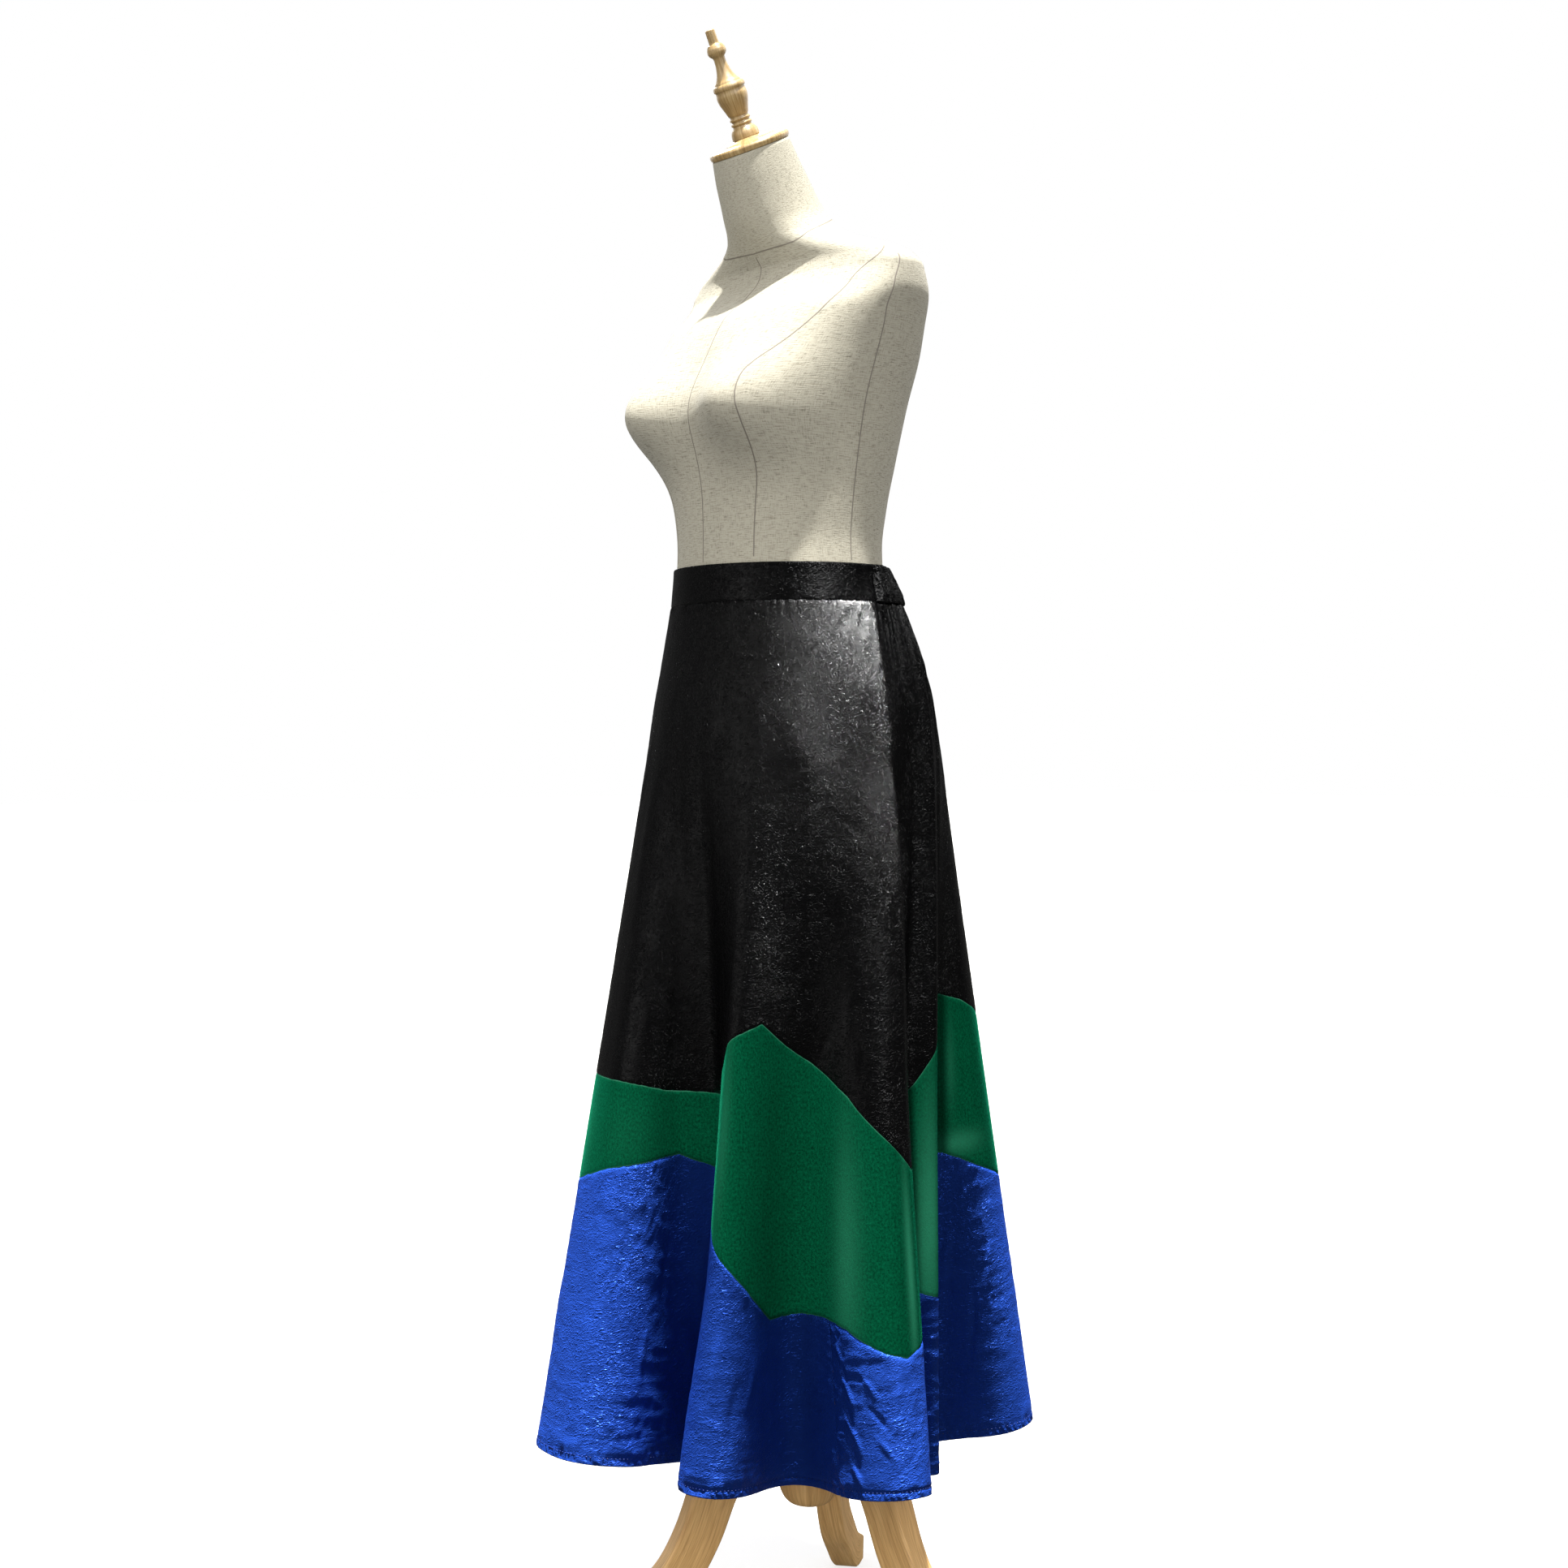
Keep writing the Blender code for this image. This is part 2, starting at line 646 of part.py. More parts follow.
def wall(name, rows, material, parent, hem_turned=False):
    """A closed wall of cloth through rows of (distance round, drop), the first row on top."""
    outer, inner, starts = [], [], []
    count = 0
    for number, (along, drop) in enumerate(rows):
        thick = CLOTH + HEM_EXTRA * (hem_turned and number == len(rows) - 1)
        # At a side seam the same gap takes more of the hem's length higher up the flare
        gap = 0.5 * SEAM_GAP / (WAIST_HEM_RATIO + (1 - WAIST_HEM_RATIO) * drop)
        held = np.clip(along, along[0] + gap, along[-1] - gap)
        points = SKIRT.point(held, drop)
        outer.append(points)
        inner.append(points - SKIRT.normal(held, drop) * thick)
        starts.append(count)
        count += len(along)
    points = np.concatenate(outer + inner)
    faces = []
    for k in range(len(rows) - 1):
        upper, lower = starts[k], starts[k + 1]
        wide, narrow = len(rows[k][0]) - 1, len(rows[k + 1][0]) - 1
        ratio = wide // narrow
        for j in range(narrow):
            a, b = upper + ratio * j, lower + j
            if ratio == 2:
                faces += [(a, b, a + 1), (a + 1, b, b + 1), (a + 1, b + 1, a + 2)]
            else:
                faces += [(a, b, b + 1), (a, b + 1, a + 1)]
    faces += [tuple(count + i for i in reversed(face)) for face in faces]
    rim = [starts[0] + j for j in range(len(rows[0][0]))]
    rim += [start + len(row[0]) - 1 for start, row in zip(starts[1:], rows[1:])]
    rim += [starts[-1] + j for j in reversed(range(len(rows[-1][0]) - 1))]
    rim += [start for start in reversed(starts[1:-1])]
    faces += rim_faces(rim, count, len(rows[0][0]) + len(rows) - 2)
    return mesh_object(name, points, faces, material, parent)


def rim_faces(rim, count, forward):
    """Faces across a wall's edge, split so that two walls with one seam are split alike."""
    faces = []
    for number, (a, b) in enumerate(zip(rim, rim[1:] + rim[:1])):
        if number < forward:
            faces += [(a, b, count + b), (a, count + b, count + a)]
        else:
            faces += [(a, b, count + a), (b, count + b, count + a)]
    return faces


def leaning(columns, top, drop):
    """Columns of the lower tier, moved so that its side seams lean towards the hem."""
    share = (drop - top) / (1 - top)
    moved = columns.copy()
    for turn, lean in LOWER_SIDE_SEAMS:
        seam = float(SKIRT.along(np.array(turn)))
        for lap in (0.0, SKIRT.hem):
            near = np.clip(1 - np.abs(columns - seam - lap) / LOWER_SEAM_SPREAD, 0.0, 1.0)
            moved = moved + lean * SKIRT.front * near * share
    return moved


def upper_and_middle(columns, materials, parent):
    """The black upper body and the green band, front and back."""
    half_gap = 0.5 * SEAM_GAP / SKIRT_LENGTH
    split = int(np.argmin(np.abs(columns - SKIRT.front)))
    for side, held in (("front", columns[: split + 1]), ("back", columns[split:])):
        upper = seam_drop(UPPER_SEAM, held)
        lower = seam_drop(LOWER_SEAM, held)
        above = held
        if side == "back":
            above = np.sort(np.concatenate([held, 0.5 * (held[:-1] + held[1:])]))
        rows = rows_between(above, 0.0 * above, 0.0 * above + GATHER_ZONE, GATHER_ROWS)
        rows += rows_between(held, 0.0 * held + GATHER_ZONE, upper - half_gap, UPPER_ROWS)[1:]
        wall(f"upper_{side}", rows, materials["black_satin"], parent)
        rows = rows_between(held, upper + half_gap, lower - half_gap, MIDDLE_ROWS)
        wall(f"middle_{side}", rows, materials["green_velvet"], parent)


def lower_tier(columns, material, parent):
    """The blue tier, whose side seams stand forward of the others, with its turned hem."""
    half_gap = 0.5 * SEAM_GAP / SKIRT_LENGTH
    seams = [float(SKIRT.along(np.array(turn))) for turn, _ in LOWER_SIDE_SEAMS]
    right, left = (int(np.argmin(np.abs(columns - seam))) for seam in seams)
    pieces = (
        ("lower_front", columns[right : left + 1]),
        ("lower_back", np.concatenate([columns[left:-1], columns[: right + 1] + SKIRT.hem])),
    )
    turn_up = 1 - HEM_TURN / SKIRT_LENGTH
    for name, held in pieces:
        top = seam_drop(LOWER_SEAM, held % SKIRT.hem) + half_gap
        rows = rows_between(held, top, 0.0 * top + turn_up, LOWER_ROWS - 1)
        rows.append((held, 0.0 * top + 1.0))
        rows = [(leaning(along, top, drop), drop) for along, drop in rows]
        wall(name, rows, material, parent, hem_turned=True)


def band_ripple(bearing, height):
    """The elastic casing's own gathers."""
    from_seam = (np.asarray(bearing, float) - SIDE_BEARING) % 360.0
    across = np.clip(from_seam / (360.0 - 2 * SIDE_BEARING), 0.0, 1.0)
    ends = ease(across / 0.04) * ease((1 - across) / 0.04)
    uneven = 1 + 0.35 * np.sin(2 * math.pi * across * 6.1 + 0.4)
    return BAND_RIPPLE * ends * uneven * (1 + np.cos(2 * math.pi * GATHERS * across))


def waistband(name, bearings, rows, ripple, material, parent):
    heights = np.linspace(BAND_TOP, BAND_BOTTOM, rows + 1)
    outer, inner = [], []
    for height in heights:
        radius = band_radius(bearings, height) + ripple * band_ripple(bearings, height)
        level = np.full((len(bearings), 1), height)
        outer.append(np.concatenate([plan(bearings, radius), level], axis=1))
        inner.append(np.concatenate([plan(bearings, radius - BAND_CLOTH), level], axis=1))
    points = np.concatenate(outer + inner)
    wide = len(bearings)
    count = wide * (rows + 1)
    faces = []
    for k in range(rows):
        for j in range(wide - 1):
            a, b = k * wide + j, (k + 1) * wide + j
            faces += [(a, b, b + 1), (a, b + 1, a + 1)]
    faces += [tuple(count + i for i in reversed(face)) for face in faces]
    rim = list(range(wide)) + [k * wide + wide - 1 for k in range(1, rows + 1)]
    rim += list(range(rows * wide + wide - 2, rows * wide - 1, -1))
    rim += [k * wide for k in range(rows - 1, 0, -1)]
    faces += rim_faces(rim, count, wide + rows - 1)
    return mesh_object(name, points, faces, material, parent)


def waistbands(material, parent):
    gap = math.degrees(0.5 * SEAM_GAP / WAIST_RADIUS)
    front = np.linspace(-SIDE_BEARING + gap, SIDE_BEARING - gap, BAND_COLUMNS + 1)
    count = GATHERS * GATHER_COLUMNS
    back = np.linspace(SIDE_BEARING + gap, 360.0 - SIDE_BEARING - gap, count + 1)
    waistband("waistband_front", front, BAND_ROWS, 0.0, material, parent)
    waistband("waistband_back", back, BAND_ROWS, 1.0, material, parent)


def closed_rings(rings):
    """Faces of a closed body through rings of equal length, with a fan over each end."""
    sides = len(rings[0])
    faces = []
    for k in range(len(rings) - 1):
        for j in range(sides):
            a, b = k * sides + j, k * sides + (j + 1) % sides
            faces.append((a, b, b + sides, a + sides))
    last = (len(rings) - 1) * sides
    top, bottom = len(rings) * sides, len(rings) * sides + 1
    for j in range(sides):
        following = (j + 1) % sides
        faces.append((top, following, j))
        faces.append((bottom, last + j, last + following))
    points = [point for ring in rings for point in ring]
    points.append(np.mean(rings[0], axis=0))
    points.append(np.mean(rings[-1], axis=0))
    return points, faces


def torso(material, parent):
    turns = np.arange(TORSO_SIDES) / TORSO_SIDES
    heights = np.array([row[0] for row in TORSO])
    wide = np.diff(heights) > TORSO_RING_STEP
    middles = 0.5 * (heights[:-1] + heights[1:])
    heights = np.sort(np.concatenate([heights, middles[wide]]))
    rings = [torso_ring(height, turns) for height in heights[::-1]]
    points, faces = closed_rings(rings)
    return mesh_object("torso", points, faces, material, parent)


def turned(name, profile, sides, material, parent):
    """A lathe-turned piece standing on its foot."""
    turns = 2 * math.pi * np.arange(sides) / sides
    rings = [
        np.stack([radius * np.cos(turns), radius * np.sin(turns), 0 * turns + height], axis=1)
        for height, radius in profile
    ]
    points, faces = closed_rings(rings)
    return mesh_object(name, points, faces, material, parent)


def neck_pieces(material, parent):
    """The cap and its finial, along the tilted neck."""
    lean = math.radians(NECK_TILT)
    foot_y, foot_z = TORSO[-1][1], TORSO[-1][0]
    cap = turned("neck_cap", NECK_CAP, CAP_SIDES, material, parent)
    cap_height = NECK_CAP[0][0]
    finial = turned("finial", FINIAL, TURNED_SIDES, material, parent)
    for piece, rise in ((cap, SEAM_GAP), (finial, cap_height + 2 * SEAM_GAP)):
        piece.rotation_euler = (lean, 0.0, 0.0)
        piece.location = (0.0, foot_y - rise * math.sin(lean), foot_z + rise * math.cos(lean))


def leg(name, bearing, material, parent):
    """A curved board from the hub to the floor, its root shaped to the hub's round side."""
    rows = np.array(LEG_SIDE)
    travel = np.concatenate([[0.0], np.cumsum(np.hypot(np.diff(rows[:, 0]), np.diff(rows[:, 1])))])
    at = np.linspace(0.0, travel[-1], LEG_RINGS)
    out, height, depth = (through(travel, rows[:, column], at) for column in range(3))
    run, fall = np.gradient(out, at), np.gradient(height, at)
    length = np.hypot(run, fall)
    half, chamfer = 0.5 * LEG_THICKNESS, LEG_CHAMFER
    across = [half, half - chamfer, 0.4 * half, 0.0, -0.4 * half, chamfer - half, -half]
    rings = []
    for k in range(LEG_RINGS):
        tall = 0.5 * depth[k]
        up = (-fall[k] / length[k], run[k] / length[k]) if k else (0.0, 1.0)
        rises = [tall - chamfer * (abs(side) == half) for side in across]
        edge = list(zip(across, rises))
        edge += [(side, -rise) for side, rise in reversed(edge)]
        ring = []
        for side, rise in edge:
            distance = out[k] + up[0] * rise
            if k == 0:
                distance = math.sqrt((HUB_RADIUS + 2 * SEAM_GAP) ** 2 - side**2)
            ring.append((side, -distance, max(height[k] + up[1] * rise, 0.0)))
        rings.append(np.array(ring))
    points, faces = closed_rings(rings)
    # The root's end is strips between the upper and lower edge, not a flat fan
    count = len(rings[0])
    faces = [face for face in faces if len(points) - 2 not in face]
    faces += [(j, j + 1, count - 2 - j, count - 1 - j) for j in range(len(across) - 1)]
    points[len(points) - 2] = points[len(points) - 1]
    tip = len(points) - 1
    faces = [tuple(i - 1 if i == tip else i for i in face) for face in faces]
    obj = mesh_object(name, points[:-1], faces, material, parent)
    obj.location = (0.0, POLE_Y, 0.0)
    obj.rotation_euler = (0.0, 0.0, math.radians(bearing))
    return obj


def stand(material, parent):
    hub = turned("hub", HUB, CAP_SIDES, material, parent)
    hub.location = (0.0, POLE_Y, HUB_FOOT)
    pole_foot = HUB_FOOT + HUB[0][0] + SEAM_GAP
    height = TORSO_BOTTOM - SEAM_GAP - pole_foot
    profile = ((height, POLE_RADIUS), (0.0, POLE_RADIUS))
    pole = turned("pole", profile, CAP_SIDES, material, parent)
    pole.location = (0.0, POLE_Y, pole_foot)
    for name, bearing in LEGS:
        leg(name, bearing, material, parent)


def main():
    clear_scene()
    frame = bpy.data.objects.new("waist_axis", None)
    frame.location = (AXIS_X, AXIS_Y, 0.0)
    bpy.context.scene.collection.objects.link(frame)
    materials = {name: finish(name) for name in COLOURS}
    waistbands(materials["black_satin"], frame)
    columns = columns_round()
    upper_and_middle(columns, materials, frame)
    lower_tier(columns, materials["blue_taffeta"], frame)
    torso(materials["linen"], frame)
    neck_pieces(materials["turned_wood"], frame)
    stand(materials["stand_wood"], frame)


main()
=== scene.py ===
"""Looks of a flared, colour-blocked skirt worn by a limbless dress form on a wooden stand.

Metres, +Z up, the front of the skirt towards -Y and the wearer's left towards +X.
A bearing is an angle in degrees round the form: 0 at the front, 90 at the wearer's left.
A place on the cloth is a distance round the hem and a share of the drop to the hem.
A turn on the cloth is a share of the way round: 0 to 1 on the front, 1 to 2 on the back.
"""

import json
import math

import bpy
import numpy as np
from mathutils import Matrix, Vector

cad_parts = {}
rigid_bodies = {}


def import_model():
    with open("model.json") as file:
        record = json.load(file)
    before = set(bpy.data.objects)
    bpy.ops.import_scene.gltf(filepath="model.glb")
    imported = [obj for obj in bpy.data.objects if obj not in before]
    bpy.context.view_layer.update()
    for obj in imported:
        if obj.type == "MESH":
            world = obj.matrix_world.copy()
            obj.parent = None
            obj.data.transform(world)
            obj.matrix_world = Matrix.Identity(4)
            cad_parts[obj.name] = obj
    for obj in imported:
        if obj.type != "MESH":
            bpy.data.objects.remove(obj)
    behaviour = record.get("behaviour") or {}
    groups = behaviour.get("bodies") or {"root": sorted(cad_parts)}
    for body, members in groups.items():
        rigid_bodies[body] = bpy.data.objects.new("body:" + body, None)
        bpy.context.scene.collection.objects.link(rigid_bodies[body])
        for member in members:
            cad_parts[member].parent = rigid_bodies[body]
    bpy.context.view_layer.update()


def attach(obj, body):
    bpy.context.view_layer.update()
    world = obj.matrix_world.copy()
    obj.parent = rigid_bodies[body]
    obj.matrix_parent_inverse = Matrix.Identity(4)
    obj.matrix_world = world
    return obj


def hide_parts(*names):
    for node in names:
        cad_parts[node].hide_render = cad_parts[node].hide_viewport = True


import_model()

# The waist axis and the sizes of the solids, the same values as the part's
AXIS = np.array([-0.0032, 0.0020, 0.0])
BAND_TOP = 1.120
BAND_HEIGHT = 0.039
BAND_BOTTOM = BAND_TOP - BAND_HEIGHT
TORSO_BOTTOM = 0.830
CLOTH = 0.0012
BAND_CLOTH = 0.0024
SEAM_GAP = 0.0003
FORM_CLEARANCE = 0.0010
HIP_CLEARANCE = 0.0022
HIP_DROP = 0.06
FORM_EASE = 0.0015
BAND_LAP = 0.0008
SKIRT_LENGTH = 0.870
SIDE_BEARING = 96.8
BACK_STAND_OFF = 0.011
BACK_SPREAD = 22.0
BAND_RIPPLE = 0.0013
GATHERS = 24
GATHER_DEPTH = 0.0026
GATHER_FADE = 0.30
PUFF = 0.027
PUFF_DROP = 0.22
CONE_HALF_WIDTH = 0.276
CONE_HALF_DEPTH = 0.267
CONE_SIDE_BEARING = 84.6
FOLD_GROWTH = 1.15
WAIST_HEM_RATIO = 0.31
SWING = 0.012
SWING_DROP = 0.28
SWING_END = 0.62
SWING_SHARE = 0.16
FLANK = 0.017
FLANK_TURN = 0.625
FLANK_SHARE = 0.07
FLANK_RISE = (0.15, 0.50)
FLANK_FALL = (0.74, 1.00)
RIDGE = 0.005
RIDGE_SHARE = 0.016
CREASE = 0.007
CREASE_TURN = 1.030

# The hem seen from above: bearing (degrees), radius (m), lift (m), share where its fold starts
FRONT_HEM = (
    (-84.6, 0.264, 0.000, 0.10),
    (-73.0, 0.252, 0.000, 0.10),
    (-62.0, 0.262, 0.002, 0.10),
    (-52.0, 0.238, 0.002, 0.10),
    (-43.0, 0.178, 0.004, 0.14),
    (-34.0, 0.190, 0.006, 0.14),
    (-27.0, 0.246, 0.005, 0.10),
    (-19.0, 0.264, 0.006, 0.10),
    (-8.0, 0.266, 0.007, 0.10),
    (0.5, 0.261, 0.009, 0.10),
    (7.0, 0.232, 0.010, 0.10),
    (8.5, 0.190, 0.010, 0.12),
    (8.0, 0.140, 0.006, 0.14),
    (15.0, 0.112, 0.002, 0.14),
    (22.5, 0.150, 0.000, 0.14),
    (22.0, 0.202, 0.000, 0.12),
    (27.5, 0.230, 0.000, 0.10),
    (35.5, 0.241, 0.000, 0.10),
    (42.5, 0.212, 0.000, 0.12),
    (48.5, 0.172, 0.000, 0.16),
    (56.0, 0.160, 0.000, 0.18),
    (63.0, 0.172, 0.000, 0.16),
    (67.0, 0.216, 0.000, 0.12),
    (71.5, 0.257, 0.000, 0.10),
    (77.5, 0.275, 0.000, 0.08),
    (84.6, 0.258, 0.000, 0.04),
)
BACK_HEM = (
    (88.5, 0.205, -0.002, 0.02),
    (93.5, 0.160, -0.004, 0.02),
    (99.0, 0.174, -0.004, 0.03),
    (104.0, 0.195, -0.004, 0.05),
    (110.0, 0.174, -0.002, 0.06),
    (117.0, 0.136, 0.002, 0.08),
    (127.0, 0.150, 0.006, 0.10),
    (130.0, 0.195, 0.010, 0.10),
    (132.0, 0.235, 0.010, 0.10),
    (139.0, 0.258, 0.010, 0.10),
    (147.0, 0.261, 0.010, 0.10),
    (156.0, 0.245, 0.008, 0.10),
    (162.0, 0.195, 0.006, 0.12),
    (168.0, 0.158, 0.004, 0.14),
    (176.0, 0.176, 0.004, 0.14),
    (180.0, 0.230, 0.004, 0.12),
    (187.0, 0.262, 0.004, 0.10),
    (197.0, 0.256, 0.004, 0.10),
    (203.5, 0.205, 0.002, 0.12),
    (210.0, 0.160, 0.000, 0.14),
    (218.0, 0.178, 0.000, 0.14),
    (222.0, 0.232, 0.002, 0.12),
    (229.0, 0.262, 0.002, 0.10),
    (239.0, 0.258, 0.002, 0.10),
    (246.0, 0.212, 0.000, 0.12),
    (252.0, 0.168, 0.000, 0.14),
    (259.0, 0.188, 0.000, 0.12),
    (264.0, 0.238, 0.000, 0.10),
    (270.0, 0.262, 0.000, 0.10),
)

# The colour seams: share of the way round, and share of the drop
UPPER_SEAM = (
    (0.000, 0.520),
    (0.070, 0.480),
    (0.150, 0.505),
    (0.240, 0.560),
    (0.500, 0.570),
    (0.620, 0.562),
    (0.694, 0.505),
    (0.757, 0.480),
    (0.833, 0.520),
    (0.904, 0.562),
    (0.951, 0.605),
    (1.000, 0.648),
    (1.094, 0.555),
    (1.118, 0.522),
    (1.152, 0.472),
    (1.205, 0.462),
    (1.254, 0.475),
    (1.299, 0.495),
    (1.390, 0.545),
    (1.470, 0.590),
    (1.550, 0.530),
    (1.620, 0.478),
    (1.720, 0.530),
    (1.800, 0.600),
    (1.890, 0.570),
    (2.000, 0.520),
)
LOWER_SEAM = (
    (0.000, 0.725),
    (0.060, 0.765),
    (0.150, 0.715),
    (0.240, 0.700),
    (0.327, 0.690),
    (0.430, 0.665),
    (0.530, 0.642),
    (0.620, 0.665),
    (0.699, 0.728),
    (0.766, 0.790),
    (0.792, 0.811),
    (0.830, 0.806),
    (0.861, 0.809),
    (0.900, 0.818),
    (0.950, 0.845),
    (0.972, 0.851),
    (1.000, 0.838),
    (1.080, 0.785),
    (1.140, 0.805),
    (1.208, 0.652),
    (1.239, 0.665),
    (1.299, 0.695),
    (1.400, 0.735),
    (1.480, 0.780),
    (1.540, 0.700),
    (1.620, 0.655),
    (1.700, 0.735),
    (1.790, 0.800),
    (1.850, 0.795),
    (1.920, 0.690),
    (2.000, 0.725),
)
LOWER_SIDE_SEAMS = ((0.132, -0.020), (0.868, 0.020))
LOWER_SEAM_SPREAD = 0.110

# Rings of the torso: height, middle (y), half width, depth to the front, depth to the back,
# squareness and forward tilt (degrees)
TORSO = (
    (0.830, 0.014, 0.132, 0.083, 0.098, 2.1, 0.0),
    (0.836, 0.013, 0.140, 0.090, 0.106, 2.1, 0.0),
    (0.850, 0.012, 0.145, 0.095, 0.112, 2.1, 0.0),
    (0.890, 0.009, 0.149, 0.102, 0.118, 2.1, 0.0),
    (0.930, 0.006, 0.150, 0.105, 0.118, 2.1, 0.0),
    (0.980, 0.002, 0.146, 0.105, 0.112, 2.1, 0.0),
    (1.030, -0.002, 0.137, 0.103, 0.104, 2.1, 0.0),
    (1.081, -0.004, 0.1255, 0.1005, 0.0990, 2.05, 0.0),
    (1.120, -0.005, 0.1180, 0.0985, 0.0970, 2.05, 0.0),
    (1.140, -0.005, 0.1175, 0.0980, 0.0965, 2.05, 0.0),
    (1.180, -0.004, 0.1215, 0.0995, 0.0985, 2.1, 0.0),
    (1.230, -0.002, 0.130, 0.104, 0.103, 2.2, 0.0),
    (1.280, 0.001, 0.140, 0.109, 0.106, 2.3, 0.0),
    (1.330, 0.007, 0.152, 0.101, 0.107, 2.4, 0.0),
    (1.370, 0.011, 0.163, 0.088, 0.103, 2.4, 0.0),
    (1.398, 0.017, 0.170, 0.065, 0.098, 2.2, 1.0),
    (1.418, 0.019, 0.169, 0.051, 0.089, 2.1, 2.0),
    (1.432, 0.018, 0.157, 0.047, 0.079, 2.1, 3.0),
    (1.443, 0.014, 0.131, 0.049, 0.068, 2.0, 5.0),
    (1.454, 0.006, 0.094, 0.049, 0.059, 2.0, 7.0),
    (1.467, -0.002, 0.067, 0.050, 0.053, 2.0, 10.0),
    (1.484, -0.012, 0.054, 0.050, 0.050, 2.0, 15.0),
    (1.508, -0.024, 0.0480, 0.0475, 0.0475, 2.0, 20.0),
    (1.530, -0.0345, 0.0445, 0.0445, 0.0445, 2.0, 23.0),
    (1.550, -0.0425, 0.0415, 0.0415, 0.0415, 2.0, 25.0),
)
BUST_APART = 0.082
BUST_HEIGHT = 1.274
BUST_RISE = 0.050
BUST_WIDTH = 0.058
BUST_ABOVE = 0.062
BUST_BELOW = 0.048
NECK_TILT = 25.0

# Turned pieces, outer side from the top down: height above the piece's foot, radius
NECK_CAP = (
    (0.0125, 0.018),
    (0.0105, 0.027),
    (0.0085, 0.031),
    (0.0080, 0.037),
    (0.0070, 0.0413),
    (0.0045, 0.0428),
    (0.0020, 0.0424),
    (0.0000, 0.0410),
)
FINIAL = (
    (0.1113, 0.0044),
    (0.1108, 0.0049),
    (0.0985, 0.0052),
    (0.0972, 0.0055),
    (0.0963, 0.0072),
    (0.0945, 0.0085),
    (0.0915, 0.0097),
    (0.0888, 0.0099),
    (0.0862, 0.0089),
    (0.0845, 0.0072),
    (0.0835, 0.0064),
    (0.0815, 0.0060),
    (0.0775, 0.0061),
    (0.0720, 0.0069),
    (0.0660, 0.0085),
    (0.0610, 0.0110),
    (0.0580, 0.0134),
    (0.0566, 0.0140),
    (0.0560, 0.0153),
    (0.0545, 0.0164),
    (0.0525, 0.0168),
    (0.0508, 0.0165),
    (0.0500, 0.0155),
    (0.0490, 0.0154),
    (0.0440, 0.0161),
    (0.0400, 0.0157),
    (0.0344, 0.0141),
    (0.0286, 0.0121),
    (0.0240, 0.0106),
    (0.0228, 0.0096),
    (0.0216, 0.0096),
    (0.0206, 0.0106),
    (0.0196, 0.0109),
    (0.0186, 0.0106),
    (0.0178, 0.0094),
    (0.0168, 0.0094),
    (0.0158, 0.0107),
    (0.0147, 0.0111),
    (0.0136, 0.0106),
    (0.0128, 0.0097),
    (0.0115, 0.0102),
    (0.0095, 0.0122),
    (0.0065, 0.0138),
    (0.0035, 0.0144),
    (0.0000, 0.0146),
)
HUB = (
    (0.164, 0.020),
    (0.158, 0.028),
    (0.150, 0.0320),
    (0.140, 0.0333),
    (0.040, 0.0333),
    (0.022, 0.0318),
    (0.010, 0.0270),
    (0.003, 0.0190),
    (0.000, 0.0080),
)
HUB_FOOT = 0.136
HUB_RADIUS = 0.0333
POLE_RADIUS = 0.0160
POLE_Y = 0.035
LEGS = (("leg_left", 100.0), ("leg_right", -20.0), ("leg_back", 220.0))
LEG_THICKNESS = 0.028
LEG_EDGE = 0.0035
LEG_ROOT = 0.006
LEG_RINGS = 90
# The hole left in the middle of a turned piece's ends
CENTRE = 0.0004
LEG_SIDE = (
    (0.0336, 0.222, 0.078),
    (0.0600, 0.220, 0.062),
    (0.0860, 0.200, 0.052),
    (0.1060, 0.160, 0.047),
    (0.1220, 0.118, 0.045),
    (0.1450, 0.078, 0.043),
    (0.1800, 0.046, 0.040),
    (0.2070, 0.0245, 0.0385),
    (0.2220, 0.0170, 0.0380),
    (0.2480, 0.0110, 0.0300),
)

# How fine the cloth's meshes are, how far a panel runs on under its neighbour and how far off the
# form the cloth stays
COLUMN = 0.0026
ROW = 0.0032
HEM_COLUMN = 0.0020
HEM_ROW = 0.0026
UNDERLAP = 0.0016
CLOTH_CLEAR = 0.0006
# The hem: its turn, the dent at its stitches, its roping and its pulls, then a stitch's length,
# pitch, half thickness and lift
HEM_FOLD = 0.0075
HEM_DENT = 0.0008
HEM_ROPING = 0.0006
HEM_PULL = 0.0007
STITCH = 0.0026
STITCH_PITCH = 0.0042
THREAD = 0.00028
THREAD_LIFT = 0.0003
# The waistband's mean radius, the pitch of its columns and its cloth's run for each degree
BAND_RADIUS = 0.12
BAND_COLUMN = 0.0011
BAND_RUN = 0.0021
TORSO_COLUMNS = 256
TORSO_ROWS = 240
# Steps of the table of the torso's radius: height in metres, bearing in degrees
TABLE_RISE = 0.01
TABLE_TURN = 3.0
# How far below its table the torso's radius runs out
TORSO_CLOSE = 0.22
# How high the cloths' own crush stands, and the velvet's share of the listed creases
SATIN_CRUSH = 0.00032
VELVET_CRUSH = 0.00012
TAFFETA_CRUSH = 0.0006
VELVET_CREASED = 0.35
# Distance from an edge within which its creases are flat, it rolls in, and its seam pulls
EDGE_QUIET = 0.010
EDGE_ROLL = 0.0042
PULL_REACH = 0.011
# How far the linen's weave runs round the torso, and the mean width of the cloth over its hem's
TORSO_GIRTH = 0.72
WEAVE_SHARE = 0.75
